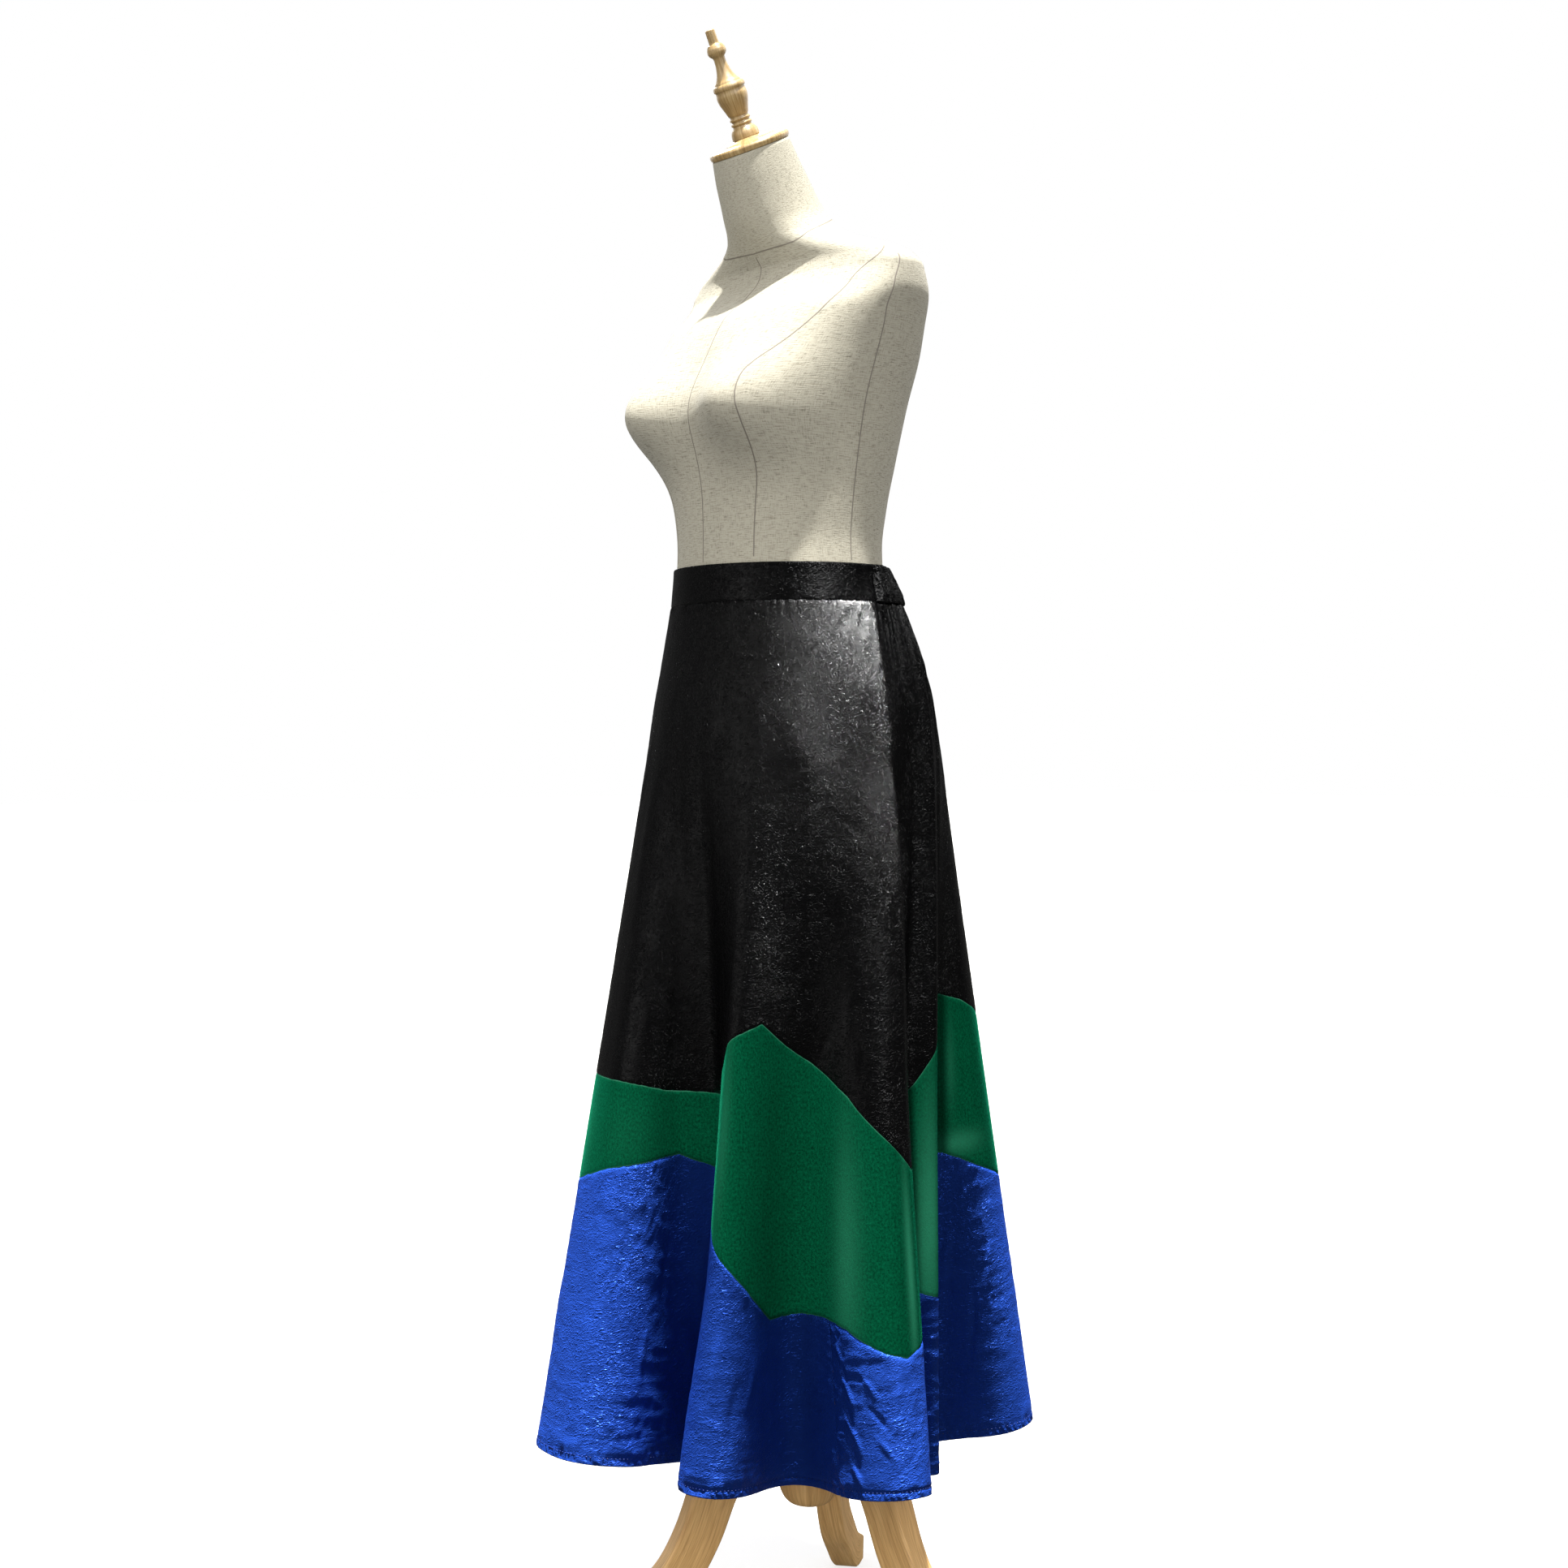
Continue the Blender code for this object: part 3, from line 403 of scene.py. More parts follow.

# Creases placed one by one: share of the way round, share of the drop, direction (degrees from
# level, up to the right), length, width and height in mm, bow. Below 0 is a trough
CREASES = (
    (0.905, 0.022, 62, 46, 4.0, 1.1, 0.3),
    (0.927, 0.020, 66, 38, 3.6, -0.9, 0.2),
    (0.946, 0.028, 72, 52, 4.0, 1.2, 0.3),
    (0.962, 0.020, 74, 36, 3.2, -0.9, 0.2),
    (0.978, 0.034, 78, 60, 4.2, 1.3, 0.2),
    (0.880, 0.016, 55, 30, 3.6, 0.7, 0.2),
    (0.852, 0.014, 50, 24, 3.4, 0.5, 0.1),
    (0.720, 0.160, 88, 120, 5.0, 0.7, -0.1),
    (0.742, 0.250, 86, 150, 7.0, -0.7, 0.1),
    (0.815, 0.205, 40, 46, 4.0, 0.6, 0.3),
    (0.835, 0.235, 34, 38, 4.0, -0.6, 0.3),
    (0.860, 0.180, 28, 40, 4.0, 0.5, -0.3),
    (0.880, 0.300, -35, 52, 4.5, 0.6, 0.3),
    (0.905, 0.265, -42, 60, 4.5, -0.7, 0.3),
    (0.930, 0.330, -55, 56, 4.5, 0.6, 0.2),
    (0.800, 0.330, 30, 44, 4.5, 0.5, 0.2),
    (0.780, 0.395, 66, 60, 5.0, 0.8, 0.2),
    (0.797, 0.430, 70, 62, 4.0, -0.9, 0.2),
    (0.812, 0.446, 74, 58, 4.0, 1.0, -0.2),
    (0.828, 0.455, 78, 52, 4.0, -1.0, 0.2),
    (0.846, 0.470, 70, 46, 4.0, 0.9, 0.2),
    (0.862, 0.500, 62, 40, 4.0, -0.7, 0.2),
    (0.905, 0.470, 84, 70, 5.0, 0.6, 0.1),
    (0.930, 0.520, 80, 62, 4.0, -0.6, 0.1),
    (0.560, 0.300, 88, 200, 8.0, 1.1, 0.1),
    (0.580, 0.320, 87, 180, 7.0, -1.0, -0.1),
    (0.545, 0.190, 84, 120, 6.0, 0.8, 0.2),
    (0.600, 0.470, 86, 140, 6.0, 0.9, 0.1),
    (0.618, 0.440, 84, 120, 5.0, -0.9, -0.2),
    (0.640, 0.500, 82, 90, 5.0, 0.8, 0.2),
    (0.520, 0.480, 88, 150, 7.0, -0.8, 0.1),
    (0.470, 0.420, 86, 110, 6.0, 0.6, 0.2),
    (0.430, 0.500, 82, 80, 5.0, -0.6, -0.2),
    (0.400, 0.300, 88, 160, 8.0, 0.7, 0.1),
    (0.330, 0.220, 84, 130, 6.0, 0.8, -0.1),
    (0.290, 0.360, 86, 150, 7.0, -0.8, 0.1),
    (0.210, 0.180, 82, 110, 6.0, 0.7, 0.2),
    (0.180, 0.330, 86, 140, 7.0, -0.8, 0.1),
    (0.110, 0.120, 80, 90, 5.0, 0.8, 0.2),
    (0.070, 0.300, 88, 160, 7.0, 0.9, -0.1),
    (0.040, 0.160, 84, 110, 5.0, -0.8, 0.2),
    (1.060, 0.110, 104, 70, 4.0, 1.0, 0.2),
    (1.090, 0.200, 100, 90, 5.0, -1.0, 0.2),
    (1.130, 0.150, 96, 80, 5.0, 0.9, -0.2),
    (1.190, 0.280, 92, 120, 6.0, -0.9, 0.1),
    (1.260, 0.220, 90, 110, 6.0, 0.9, 0.1),
    (1.340, 0.330, 88, 140, 6.0, -0.9, 0.1),
    (1.420, 0.240, 92, 120, 6.0, 0.9, -0.1),
    (1.500, 0.360, 90, 150, 7.0, -0.8, 0.1),
    (1.580, 0.230, 88, 120, 6.0, 0.9, 0.1),
    (1.650, 0.340, 90, 140, 6.0, -0.9, -0.1),
    (1.740, 0.260, 86, 120, 6.0, 0.9, 0.1),
    (1.830, 0.360, 84, 150, 6.0, -0.9, 0.1),
    (1.910, 0.220, 82, 110, 5.0, 0.9, 0.2),
    (0.885, 0.845, -62, 34, 2.8, 1.3, 0.3),
    (0.893, 0.868, -60, 46, 3.0, -1.3, 0.3),
    (0.900, 0.886, -58, 52, 3.0, 1.4, 0.3),
    (0.901, 0.912, -60, 50, 2.8, -1.2, 0.3),
    (0.908, 0.932, -56, 52, 3.0, 1.3, 0.3),
    (0.910, 0.955, -58, 44, 2.8, -1.2, 0.2),
    (0.914, 0.975, -54, 36, 2.8, 1.1, 0.2),
    (0.928, 0.880, -52, 44, 3.0, 0.8, 0.3),
    (0.938, 0.915, -50, 46, 3.0, -0.9, 0.3),
    (0.946, 0.948, -52, 40, 3.0, 0.8, 0.2),
    (0.858, 0.852, 24, 28, 2.8, 0.9, -0.3),
    (0.850, 0.872, 16, 34, 3.0, -1.0, -0.3),
    (0.855, 0.890, 12, 34, 2.8, 1.0, -0.2),
    (0.850, 0.910, 8, 30, 2.8, -0.9, -0.2),
    (0.858, 0.930, 14, 34, 2.8, 0.9, -0.2),
    (0.852, 0.952, 10, 28, 2.8, -0.8, -0.2),
    (0.724, 0.860, 86, 90, 5.0, 0.9, 0.2),
    (0.742, 0.915, 84, 80, 4.5, -0.8, 0.2),
    (0.760, 0.880, 78, 60, 4.0, 0.7, -0.2),
    (0.800, 0.900, 88, 90, 6.0, 0.6, 0.1),
    (0.560, 0.780, 84, 110, 4.5, 1.1, 0.2),
    (0.576, 0.850, 80, 90, 4.0, -1.1, 0.2),
    (0.590, 0.770, 76, 70, 4.0, 1.0, -0.2),
    (0.606, 0.900, 82, 80, 4.0, -1.0, 0.2),
    (0.540, 0.900, 88, 100, 5.0, 0.8, -0.2),
    (0.510, 0.800, 86, 120, 5.0, -0.8, 0.2),
    (0.480, 0.880, 82, 90, 4.0, 0.8, 0.2),
    (0.450, 0.760, 84, 100, 5.0, -0.7, 0.1),
    (0.420, 0.860, 88, 90, 5.0, 0.7, 0.2),
    (0.960, 0.900, 84, 60, 4.0, 0.9, 0.1),
    (0.982, 0.930, 86, 60, 4.0, -0.9, 0.1),
    (0.330, 0.840, 84, 110, 5.0, 0.9, 0.1),
    (0.260, 0.800, 86, 110, 5.0, -0.9, 0.2),
    (0.190, 0.880, 82, 90, 4.5, 0.9, -0.2),
    (0.150, 0.820, -60, 50, 3.0, 1.1, 0.3),
    (0.140, 0.870, -56, 46, 3.0, -1.1, 0.3),
    (0.136, 0.920, -58, 46, 3.0, 1.1, 0.3),
    (0.060, 0.860, 84, 90, 4.5, 0.9, 0.1),
    (1.060, 0.900, 88, 80, 4.5, 0.9, 0.1),
    (1.140, 0.860, 86, 90, 4.5, -0.9, 0.1),
    (1.220, 0.780, 84, 110, 5.0, 1.0, 0.1),
    (1.243, 0.870, 82, 100, 4.5, -1.0, -0.1),
    (1.268, 0.800, 78, 80, 4.0, 0.9, 0.2),
    (1.330, 0.860, 86, 100, 5.0, 0.9, 0.1),
    (1.410, 0.820, 84, 100, 5.0, -0.9, 0.1),
    (1.490, 0.890, 88, 90, 4.5, 0.9, -0.1),
    (1.570, 0.800, 84, 110, 5.0, -0.9, 0.1),
    (1.650, 0.860, 86, 100, 5.0, 0.9, 0.1),
    (1.740, 0.900, 84, 90, 4.5, -0.9, 0.2),
    (1.830, 0.870, 88, 100, 5.0, 0.9, 0.1),
    (1.920, 0.820, 84, 110, 5.0, -0.9, 0.1),
)

# Seam lines of the form's cover, as heights and shares of a turn from the front
FORM_SEAMS = {
    "centre_front": ((1.447, 0.000), (1.300, 0.000), (1.120, 0.000)),
    "centre_back": ((1.447, 0.500), (1.300, 0.500), (1.120, 0.500)),
    "princess_front": (
        (1.436, 0.228),
        (1.413, 0.150),
        (1.373, 0.144),
        (1.345, 0.124),
        (1.330, 0.113),
        (1.318, 0.104),
        (1.305, 0.100),
        (1.283, 0.108),
        (1.261, 0.115),
        (1.244, 0.113),
        (1.210, 0.101),
        (1.181, 0.092),
        (1.120, 0.091),
    ),
    "princess_back": (
        (1.437, 0.305),
        (1.415, 0.345),
        (1.370, 0.375),
        (1.300, 0.395),
        (1.200, 0.402),
        (1.120, 0.402),
    ),
    "side": (
        (1.426, 0.241),
        (1.401, 0.231),
        (1.382, 0.238),
        (1.354, 0.244),
        (1.276, 0.244),
        (1.227, 0.245),
        (1.171, 0.247),
        (1.120, 0.250),
    ),
}
SEAM_WIDTH = 0.0016
SEAM_RISE = 0.00025
# The seam at the foot of the neck: share of a turn from the front, height
NECK_SEAM = ((0.0, 1.4485), (0.08, 1.451), (0.19, 1.4625), (0.36, 1.473), (0.5, 1.476))


def ease(t):
    """0 to 1, level at both ends."""
    t = np.clip(t, 0.0, 1.0)
    return t * t * (3 - 2 * t)


def bell(distance, width):
    """1 at no distance, and almost nothing at twice the width."""
    return np.exp(-((distance / width) ** 2))


def within(share, width):
    """0 at both ends of a share from 0 to 1, and 1 where it is further in than the width."""
    return ease(share / width) * ease((1 - share) / width)


def unit(vectors):
    return vectors / np.linalg.norm(vectors, axis=-1, keepdims=True)


def spun(x, y, degrees):
    """x and y turned round their origin."""
    c, s = math.cos(math.radians(degrees)), math.sin(math.radians(degrees))
    return x * c - y * s, x * s + y * c


def hermite(knots, values, tangents, at):
    """The cubic curve through values at knots, with these tangents there."""
    steps = np.diff(knots)
    i = np.clip(np.searchsorted(knots, at, side="right") - 1, 0, len(steps) - 1)
    t = (at - knots[i]) / steps[i]
    return (
        (1 + 2 * t) * (1 - t) ** 2 * values[i]
        + t * (1 - t) ** 2 * steps[i] * tangents[i]
        + t * t * (3 - 2 * t) * values[i + 1]
        - t * t * (1 - t) * steps[i] * tangents[i + 1]
    )


def through(knots, values, at):
    """A monotone cubic curve through a table's column."""
    knots, values = np.asarray(knots, float), np.asarray(values, float)
    at = np.clip(np.asarray(at, float), knots[0], knots[-1])
    slopes = np.diff(values) / np.diff(knots)
    before, after = slopes[:-1], slopes[1:]
    same_way = before * after > 0
    total = np.where(same_way, before + after, 1.0)
    inner = np.where(same_way, 2 * before * after / total, 0.0)
    return hermite(knots, values, np.concatenate([[slopes[0]], inner, [slopes[-1]]]), at)


def travel(across, up):
    """Distance along a path, from its start."""
    return np.concatenate([[0.0], np.cumsum(np.hypot(np.diff(across), np.diff(up)))])


def plan(bearing, radius):
    """Bearing and radius round the form to x, y."""
    angle = np.radians(bearing)
    return np.stack([radius * np.sin(angle), -radius * np.cos(angle)], axis=-1)


def polar(points):
    """Bearing and radius of points round the form."""
    x, y = points[..., 0], points[..., 1]
    return np.degrees(np.arctan2(x, -y)), np.hypot(x, y)


def ellipse_radius(bearing, half_width, half_depth):
    angle = np.radians(bearing)
    return 1.0 / np.sqrt((np.sin(angle) / half_width) ** 2 + (np.cos(angle) / half_depth) ** 2)


def torso_points(height, turns):
    """Points of the torso at heights and shares of a turn from the front."""
    height, turns = np.broadcast_arrays(np.asarray(height, float), np.asarray(turns, float))
    rows = np.array(TORSO)
    middle, width, front, back, square, tilt = (
        through(rows[:, 0], rows[:, column], height) for column in range(1, 7)
    )
    angle = 2 * math.pi * turns
    across, along = np.sin(angle), -np.cos(angle)
    power = 2.0 / square
    x = width * np.sign(across) * np.abs(across) ** power
    depth = np.where(along < 0, front, back)
    y = depth * np.sign(along) * np.abs(along) ** power
    spread = np.where(height > BUST_HEIGHT, BUST_ABOVE, BUST_BELOW)
    level = bell(height - BUST_HEIGHT, spread)
    for side in (-1, 1):
        near = bell(x - side * BUST_APART, BUST_WIDTH)
        y = y - np.where(along < 0, BUST_RISE * level * near * ease(-1.6 * along), 0.0)
    lean = np.radians(tilt)
    return np.stack([x, middle + y * np.cos(lean), height + y * np.sin(lean)], axis=-1)


def torso_radius_table():
    """The torso's radius about the waist axis, by height and bearing."""
    heights = np.arange(TORSO_BOTTOM + 0.03, BAND_TOP + 0.02, TABLE_RISE)
    bearings = np.arange(-180.0, 181.0, TABLE_TURN)
    table = []
    for height in heights:
        seen, radius = polar(torso_points(height, np.linspace(0, 1, 241)))
        order = np.argsort(seen)
        table.append(np.interp(bearings, seen[order], radius[order], period=360.0))
    return heights, np.array(table)


TORSO_HEIGHTS, TORSO_RADII = torso_radius_table()


def torso_radius(bearing, height):
    bearing = (np.asarray(bearing, float) + 180.0) % 360.0
    row = np.clip((height - TORSO_HEIGHTS[0]) / TABLE_RISE, 0, len(TORSO_HEIGHTS) - 1.001)
    column = np.clip(bearing / TABLE_TURN, 0, TORSO_RADII.shape[1] - 1.001)
    i, j = row.astype(int), column.astype(int)
    s, t = row - i, column - j
    radius = (
        TORSO_RADII[i, j] * (1 - s) * (1 - t)
        + TORSO_RADII[i + 1, j] * s * (1 - t)
        + TORSO_RADII[i, j + 1] * (1 - s) * t
        + TORSO_RADII[i + 1, j + 1] * s * t
    )
    below = np.clip((TORSO_HEIGHTS[0] - height) / TORSO_CLOSE, 0.0, 1.0)
    return radius * (1 - below**2)


def back_share(bearing):
    """0 on the front and at the side seams, 1 on the back."""
    from_front = np.abs((np.asarray(bearing, float) + 180.0) % 360.0 - 180.0)
    return ease((from_front - SIDE_BEARING) / BACK_SPREAD)


def band_radius(bearing, height):
    """Outer radius of the waistband."""
    down = np.clip((BAND_TOP - height) / BAND_HEIGHT, 0.0, 1.0)
    stand_off = BACK_STAND_OFF * np.sin(0.5 * math.pi * down) * back_share(bearing)
    return torso_radius(bearing, height) + FORM_CLEARANCE + BAND_CLOTH + stand_off


class Skirt:
    """The cloth's surface, by distance round the hem (m) and share of the drop to the hem."""

    def __init__(self):
        rows = np.array(FRONT_HEM + BACK_HEM + FRONT_HEM[:1])
        points = plan(rows[:, 0], rows[:, 1])
        knots = travel(*points.T)
        fine = np.linspace(0.0, knots[-1], 4001)
        self.columns = [self.closed_curve(knots, column, fine) for column in points.T]
        self.columns += [np.interp(fine, knots, rows[:, column]) for column in (2, 3)]
        self.arc = travel(*self.columns[:2])
        self.front = float(np.interp(knots[len(FRONT_HEM) - 1], fine, self.arc))
        self.hem = float(self.arc[-1])

    @staticmethod
    def closed_curve(knots, values, at):
        """A smooth closed curve through values at knots, whose first and last are the same."""
        n = len(knots) - 1
        steps = np.diff(knots)
        slopes = np.diff(values) / steps
        system = np.zeros((n, n))
        right = np.zeros(n)
        for i in range(n):
            before, after = steps[i - 1], steps[i]
            system[i, (i - 1) % n] += after
            system[i, i] += 2 * (before + after)
            system[i, (i + 1) % n] += before
            right[i] = 3 * (after * slopes[i - 1] + before * slopes[i])
        tangents = np.linalg.solve(system, right)
        return hermite(knots, values, np.append(tangents, tangents[0]), at)

    def turn(self, along):
        """Distance round the hem as 0 to 1 on the front and 1 to 2 on the back."""
        along = along % self.hem
        back = 1 + (along - self.front) / (self.hem - self.front)
        return np.where(along <= self.front, along / self.front, back)

    def along(self, turn):
        back = self.front + (turn - 1) * (self.hem - self.front)
        return np.where(turn <= 1, turn * self.front, back)

    @staticmethod
    def bearing(turn, side):
        """Bearing of a turn on a ring whose side seams stand at this bearing."""
        back = side + (turn - 1) * (360.0 - 2 * side)
        return np.where(turn <= 1, (2 * turn - 1) * side, back)

    @staticmethod
    def gathers(turn, drop):
        """How far the gathers of the back stand out."""
        across = np.clip(turn - 1, 0.0, 1.0)
        ends = within(across, 0.05)
        uneven = 1 + 0.30 * np.sin(2 * math.pi * across * 7.3 + 1.0)
        length = GATHER_FADE * (1 + 0.35 * np.sin(2 * math.pi * across * 5.1 + 2.2))
        fade = np.clip(1 - drop / length, 0.0, 1.0) ** 1.4
        return GATHER_DEPTH * ends * uneven * fade * np.cos(2 * math.pi * GATHERS * across)

    @staticmethod
    def side_swing(turn, drop):
        """How far the cloth at the left side seam swings back, round the form."""
        near = bell(turn - 1, SWING_SHARE)
        fall = np.where(
            drop < SWING_DROP,
            ease(drop / SWING_DROP),
            ease((SWING_END - drop) / (SWING_END - SWING_DROP)),
        )
        return SWING * near * fall

    @staticmethod
    def flank_swing(turn, drop):
        """How far the right flank of the front's left fold is drawn in, round the form."""
        near = np.exp(-(((turn - FLANK_TURN) / FLANK_SHARE) ** 4))
        rise = ease((drop - FLANK_RISE[0]) / (FLANK_RISE[1] - FLANK_RISE[0]))
        fall = ease((FLANK_FALL[1] - drop) / (FLANK_FALL[1] - FLANK_FALL[0]))
        return FLANK * near * rise * fall

    @staticmethod
    def side_ridge(turn, drop):
        """The left side seam's ridge and the crease behind it."""
        starts = ease(drop / 0.03)
        ridge = RIDGE * bell(turn - 1, RIDGE_SHARE)
        crease = CREASE * bell(turn - CREASE_TURN, RIDGE_SHARE)
        return starts * (ridge - crease * (1 - 0.8 * drop))

    def point(self, along, drop):
        along, drop = np.broadcast_arrays(np.asarray(along, float), np.asarray(drop, float))
        along = along % self.hem
        turn = self.turn(along)
        waist_bearing = self.bearing(turn, SIDE_BEARING)
        waist = plan(waist_bearing, band_radius(waist_bearing, BAND_BOTTOM) - BAND_LAP)
        cone_bearing = self.bearing(turn, CONE_SIDE_BEARING)
        cone = plan(cone_bearing, ellipse_radius(cone_bearing, CONE_HALF_WIDTH, CONE_HALF_DEPTH))
        x, y, lift, start = (np.interp(along, self.arc, column) for column in self.columns)
        hem, start, v = np.stack([x, y], axis=-1), start[..., None], drop[..., None]
        hang = np.clip((v - start) / (1 - start), 0.0, 1.0) ** FOLD_GROWTH
        flat = waist + (cone - waist) * v + (hem - cone) * hang
        reach = np.hypot(*np.moveaxis(hem - waist, -1, 0))
        height = BAND_BOTTOM - SEAM_GAP - drop * (np.sqrt(SKIRT_LENGTH**2 - reach**2) - lift)
        bearing, radius = polar(flat)
        puff = 1 - (1 - np.clip(drop / PUFF_DROP, 0.0, 1.0)) ** 2
        radius = radius + PUFF * puff * (1 - drop) * back_share(waist_bearing)
        radius = radius + self.gathers(turn, drop) + self.side_ridge(turn, drop)
        swing = self.side_swing(turn, drop) + self.flank_swing(turn, drop)
        bearing = bearing + np.degrees(swing / radius)
        clear = FORM_CLEARANCE + HIP_CLEARANCE * ease(drop / HIP_DROP)
        least = torso_radius(bearing, height) + clear + CLOTH
        radius = least + FORM_EASE * np.logaddexp(0.0, (radius - least) / FORM_EASE)
        return np.concatenate([plan(bearing, radius), height[..., None]], axis=-1)

    def normal(self, along, drop):
        """Unit normals, outwards."""
        step, fall = 0.0015, 0.002
        across = self.point(along + step, drop) - self.point(along - step, drop)
        down = self.point(along, np.minimum(drop + fall, 1.0))
        down = down - self.point(along, np.maximum(drop - fall, 0.0))
        return unit(np.cross(down, across))


SKIRT = Skirt()


def seam_drop(table, along):
    """A colour seam's drop at distances round the hem."""
    rows = np.array(table)
    return np.interp(SKIRT.turn(along), rows[:, 0], rows[:, 1])


def narrowing(drop):
    """The cloth's width at a drop, as a share of its width at the hem."""
    return WAIST_HEM_RATIO + (1 - WAIST_HEM_RATIO) * drop


def noise(x, y, seed):
    """Smooth noise from 0 to 1, a lattice of one unit."""
    table = np.random.default_rng(seed).random((128, 128))
    i, j = np.floor(x).astype(int), np.floor(y).astype(int)
    s, t = ease(x - i), ease(y - j)
    i, j = i % 128, j % 128
    ii, jj = (i + 1) % 128, (j + 1) % 128
    upper = table[i, j] * (1 - s) + table[ii, j] * s
    lower = table[i, jj] * (1 - s) + table[ii, jj] * s
    return upper * (1 - t) + lower * t


def ridged(x, y, seed):
    """Noise with creases where it crosses its middle, -1 to 1."""
    return 1 - 4 * np.abs(noise(x, y, seed) - 0.5)


def creases(along, drop):
    """The creases of the table, as a height off the cloth."""
    height = np.zeros_like(along)
    for turn, at, direction, length, width, tall, bow in CREASES:
        middle = float(SKIRT.along(np.array(turn)))
        across = (along - middle + 0.5 * SKIRT.hem) % SKIRT.hem - 0.5 * SKIRT.hem
        across = across * narrowing(at) * 1000.0
        up = (at - drop) * SKIRT_LENGTH * 1000.0
        near = (np.abs(across) < length) & (np.abs(up) < length)
        if not near.any():
            continue
        run, off = spun(across[near], up[near], -direction)
        share = run / (0.5 * length)
        off = off - bow * length * 0.25 * (1 - share**2)
        taper = np.clip(1 - share**2, 0.0, 1.0) ** 1.5
        height[near] += 0.001 * tall * taper * bell(off, width)
    return height


def crinkle(along, drop, amount):
    """The cloth's own uneven crush: short creases, mostly level, in patches."""
    x, y = along * WEAVE_SHARE, drop * SKIRT_LENGTH
    bend = 0.8 * noise(x / 0.04, y / 0.04, 3)
    level = ridged(x / 0.021 + bend, y / 0.0068 + 0.6 * bend + 0.15 * x / 0.021, 11)
    level = level * ease(1.6 * noise(x / 0.07, y / 0.09, 5) - 0.25)
    cross = ridged((x + 0.5 * y) / 0.0085 + bend, (y - 0.5 * x) / 0.020, 17)
    cross = cross * ease(1.7 * noise(x / 0.05, y / 0.06, 6) - 0.45)
    broad = ridged(x / 0.040 + bend, y / 0.024, 23)
    return amount * (0.55 * level + 0.40 * cross + 0.30 * broad)


def gathers_fine(along, drop):
    """The small uneven folds between the gathers of the elastic back."""
    across = SKIRT.turn(along) - 1
    inside = within(across, 0.03)
    fade = np.clip(1 - drop / 0.16, 0.0, 1.0) ** 1.5
    wave = np.sin(2 * math.pi * (across * 61 + 0.8 * noise(across * 23, drop * 9, 31)))
    return 0.0007 * np.where(across > 0, inside * fade * wave, 0.0)


# Painted sheen: where the velvet's colour is painted lighter. Share of the way round and of the
# drop, half width, half height, strength
PAINTED_SHEEN_SPOTS = (
    (0.900, 0.74, 0.022, 0.13, 0.45),
    (0.984, 0.76, 0.006, 0.10, 0.90),
    (1.114, 0.71, 0.014, 0.12, 0.80),
    (1.235, 0.645, 0.035, 0.014, 0.60),
    (1.225, 0.55, 0.010, 0.05, 0.30),
    (0.704, 0.60, 0.012, 0.10, 0.30),
    (0.440, 0.63, 0.050, 0.05, 0.06),
    (0.330, 0.63, 0.030, 0.06, 0.25),
    (0.160, 0.66, 0.030, 0.08, 0.30),
    (0.060, 0.62, 0.025, 0.07, 0.25),
    (1.360, 0.66, 0.030, 0.09, 0.35),
    (1.520, 0.64, 0.025, 0.10, 0.30),
    (1.690, 0.66, 0.030, 0.08, 0.35),
    (1.860, 0.64, 0.025, 0.09, 0.30),
)


def painted_sheen(along, drop):
    """How much the velvet's colour is painted lighter as a painted sheen, 0 to 1."""
    turn = SKIRT.turn(along)
    sheen = np.zeros_like(turn)
    for at, fallen, wide, tall, share in PAINTED_SHEEN_SPOTS:
        across = (turn - at + 1) % 2 - 1
        off = (across / wide) ** 2 + ((drop - fallen) / tall) ** 2
        sheen = sheen + share * np.exp(-off)
    return np.clip(sheen, 0.0, 1.0)


def placed(name, data):
    """A new object in the scene."""
    obj = bpy.data.objects.new(name, data)
    bpy.context.scene.collection.objects.link(obj)
    return obj


def read(items, field):
    """One whole number of each of a mesh's items."""
    found = np.empty(len(items), np.int32)
    items.foreach_get(field, found)
    return found


def mesh_of(name, points, faces, uv, values=None, round_trip=0.0):
    """An object in the scene; uv in metres and values, which are named attributes, on each point.

    round_trip is how far u runs on a closed piece, so that it goes on past the seam."""
    mesh = bpy.data.meshes.new(name)
    mesh.from_pydata(points.tolist(), [], faces.tolist() if hasattr(faces, "tolist") else faces)
    layer = mesh.uv_layers.new(name="UVMap")
    corners = uv[read(mesh.loops, "vertex_index")]
    if round_trip:
        first, sides = read(mesh.polygons, "loop_start"), read(mesh.polygons, "loop_total")
        quads = first[sides == 4]
        past = quads[corners[quads, 0] - corners[quads + 2, 0] > 0.5 * round_trip]
        for corner in (past + 2, past + 3):
            corners[corner, 0] += round_trip
    layer.data.foreach_set("uv", corners.astype(np.float32).ravel())
    for label, value in (values or {}).items():
        layer = mesh.attributes.new(label, "FLOAT", "POINT")
        layer.data.foreach_set("value", value.astype(np.float32))
    mesh.shade_smooth()
    return placed(name, mesh)


def grid_uv(across, down):
    """uv of a grid of points, from its columns' places and its rows' places."""
    return np.stack(np.broadcast_arrays(across[None, :], down[:, None]), axis=-1).reshape(-1, 2)


def grid_faces(rows, columns, closed=False):
    """Quads of a grid of points, facing out where rows run down and columns run round."""
    wide = columns if closed else columns - 1
    k, j = np.meshgrid(np.arange(rows - 1), np.arange(wide), indexing="ij")
    following = (j + 1) % columns
    a, b = k * columns, (k + 1) * columns
    return np.stack([a + j, b + j, b + following, a + following], axis=-1).reshape(-1, 4)


def settle(obj, node, material, form_slot=None):
    """The piece takes the place of its node and gets its material; form_slot is not used."""
    form_slot = form_slot or material["slot"]
    obj.data.materials.append(material)
    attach(obj, "root")
    if node:
        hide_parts(node)
    return obj


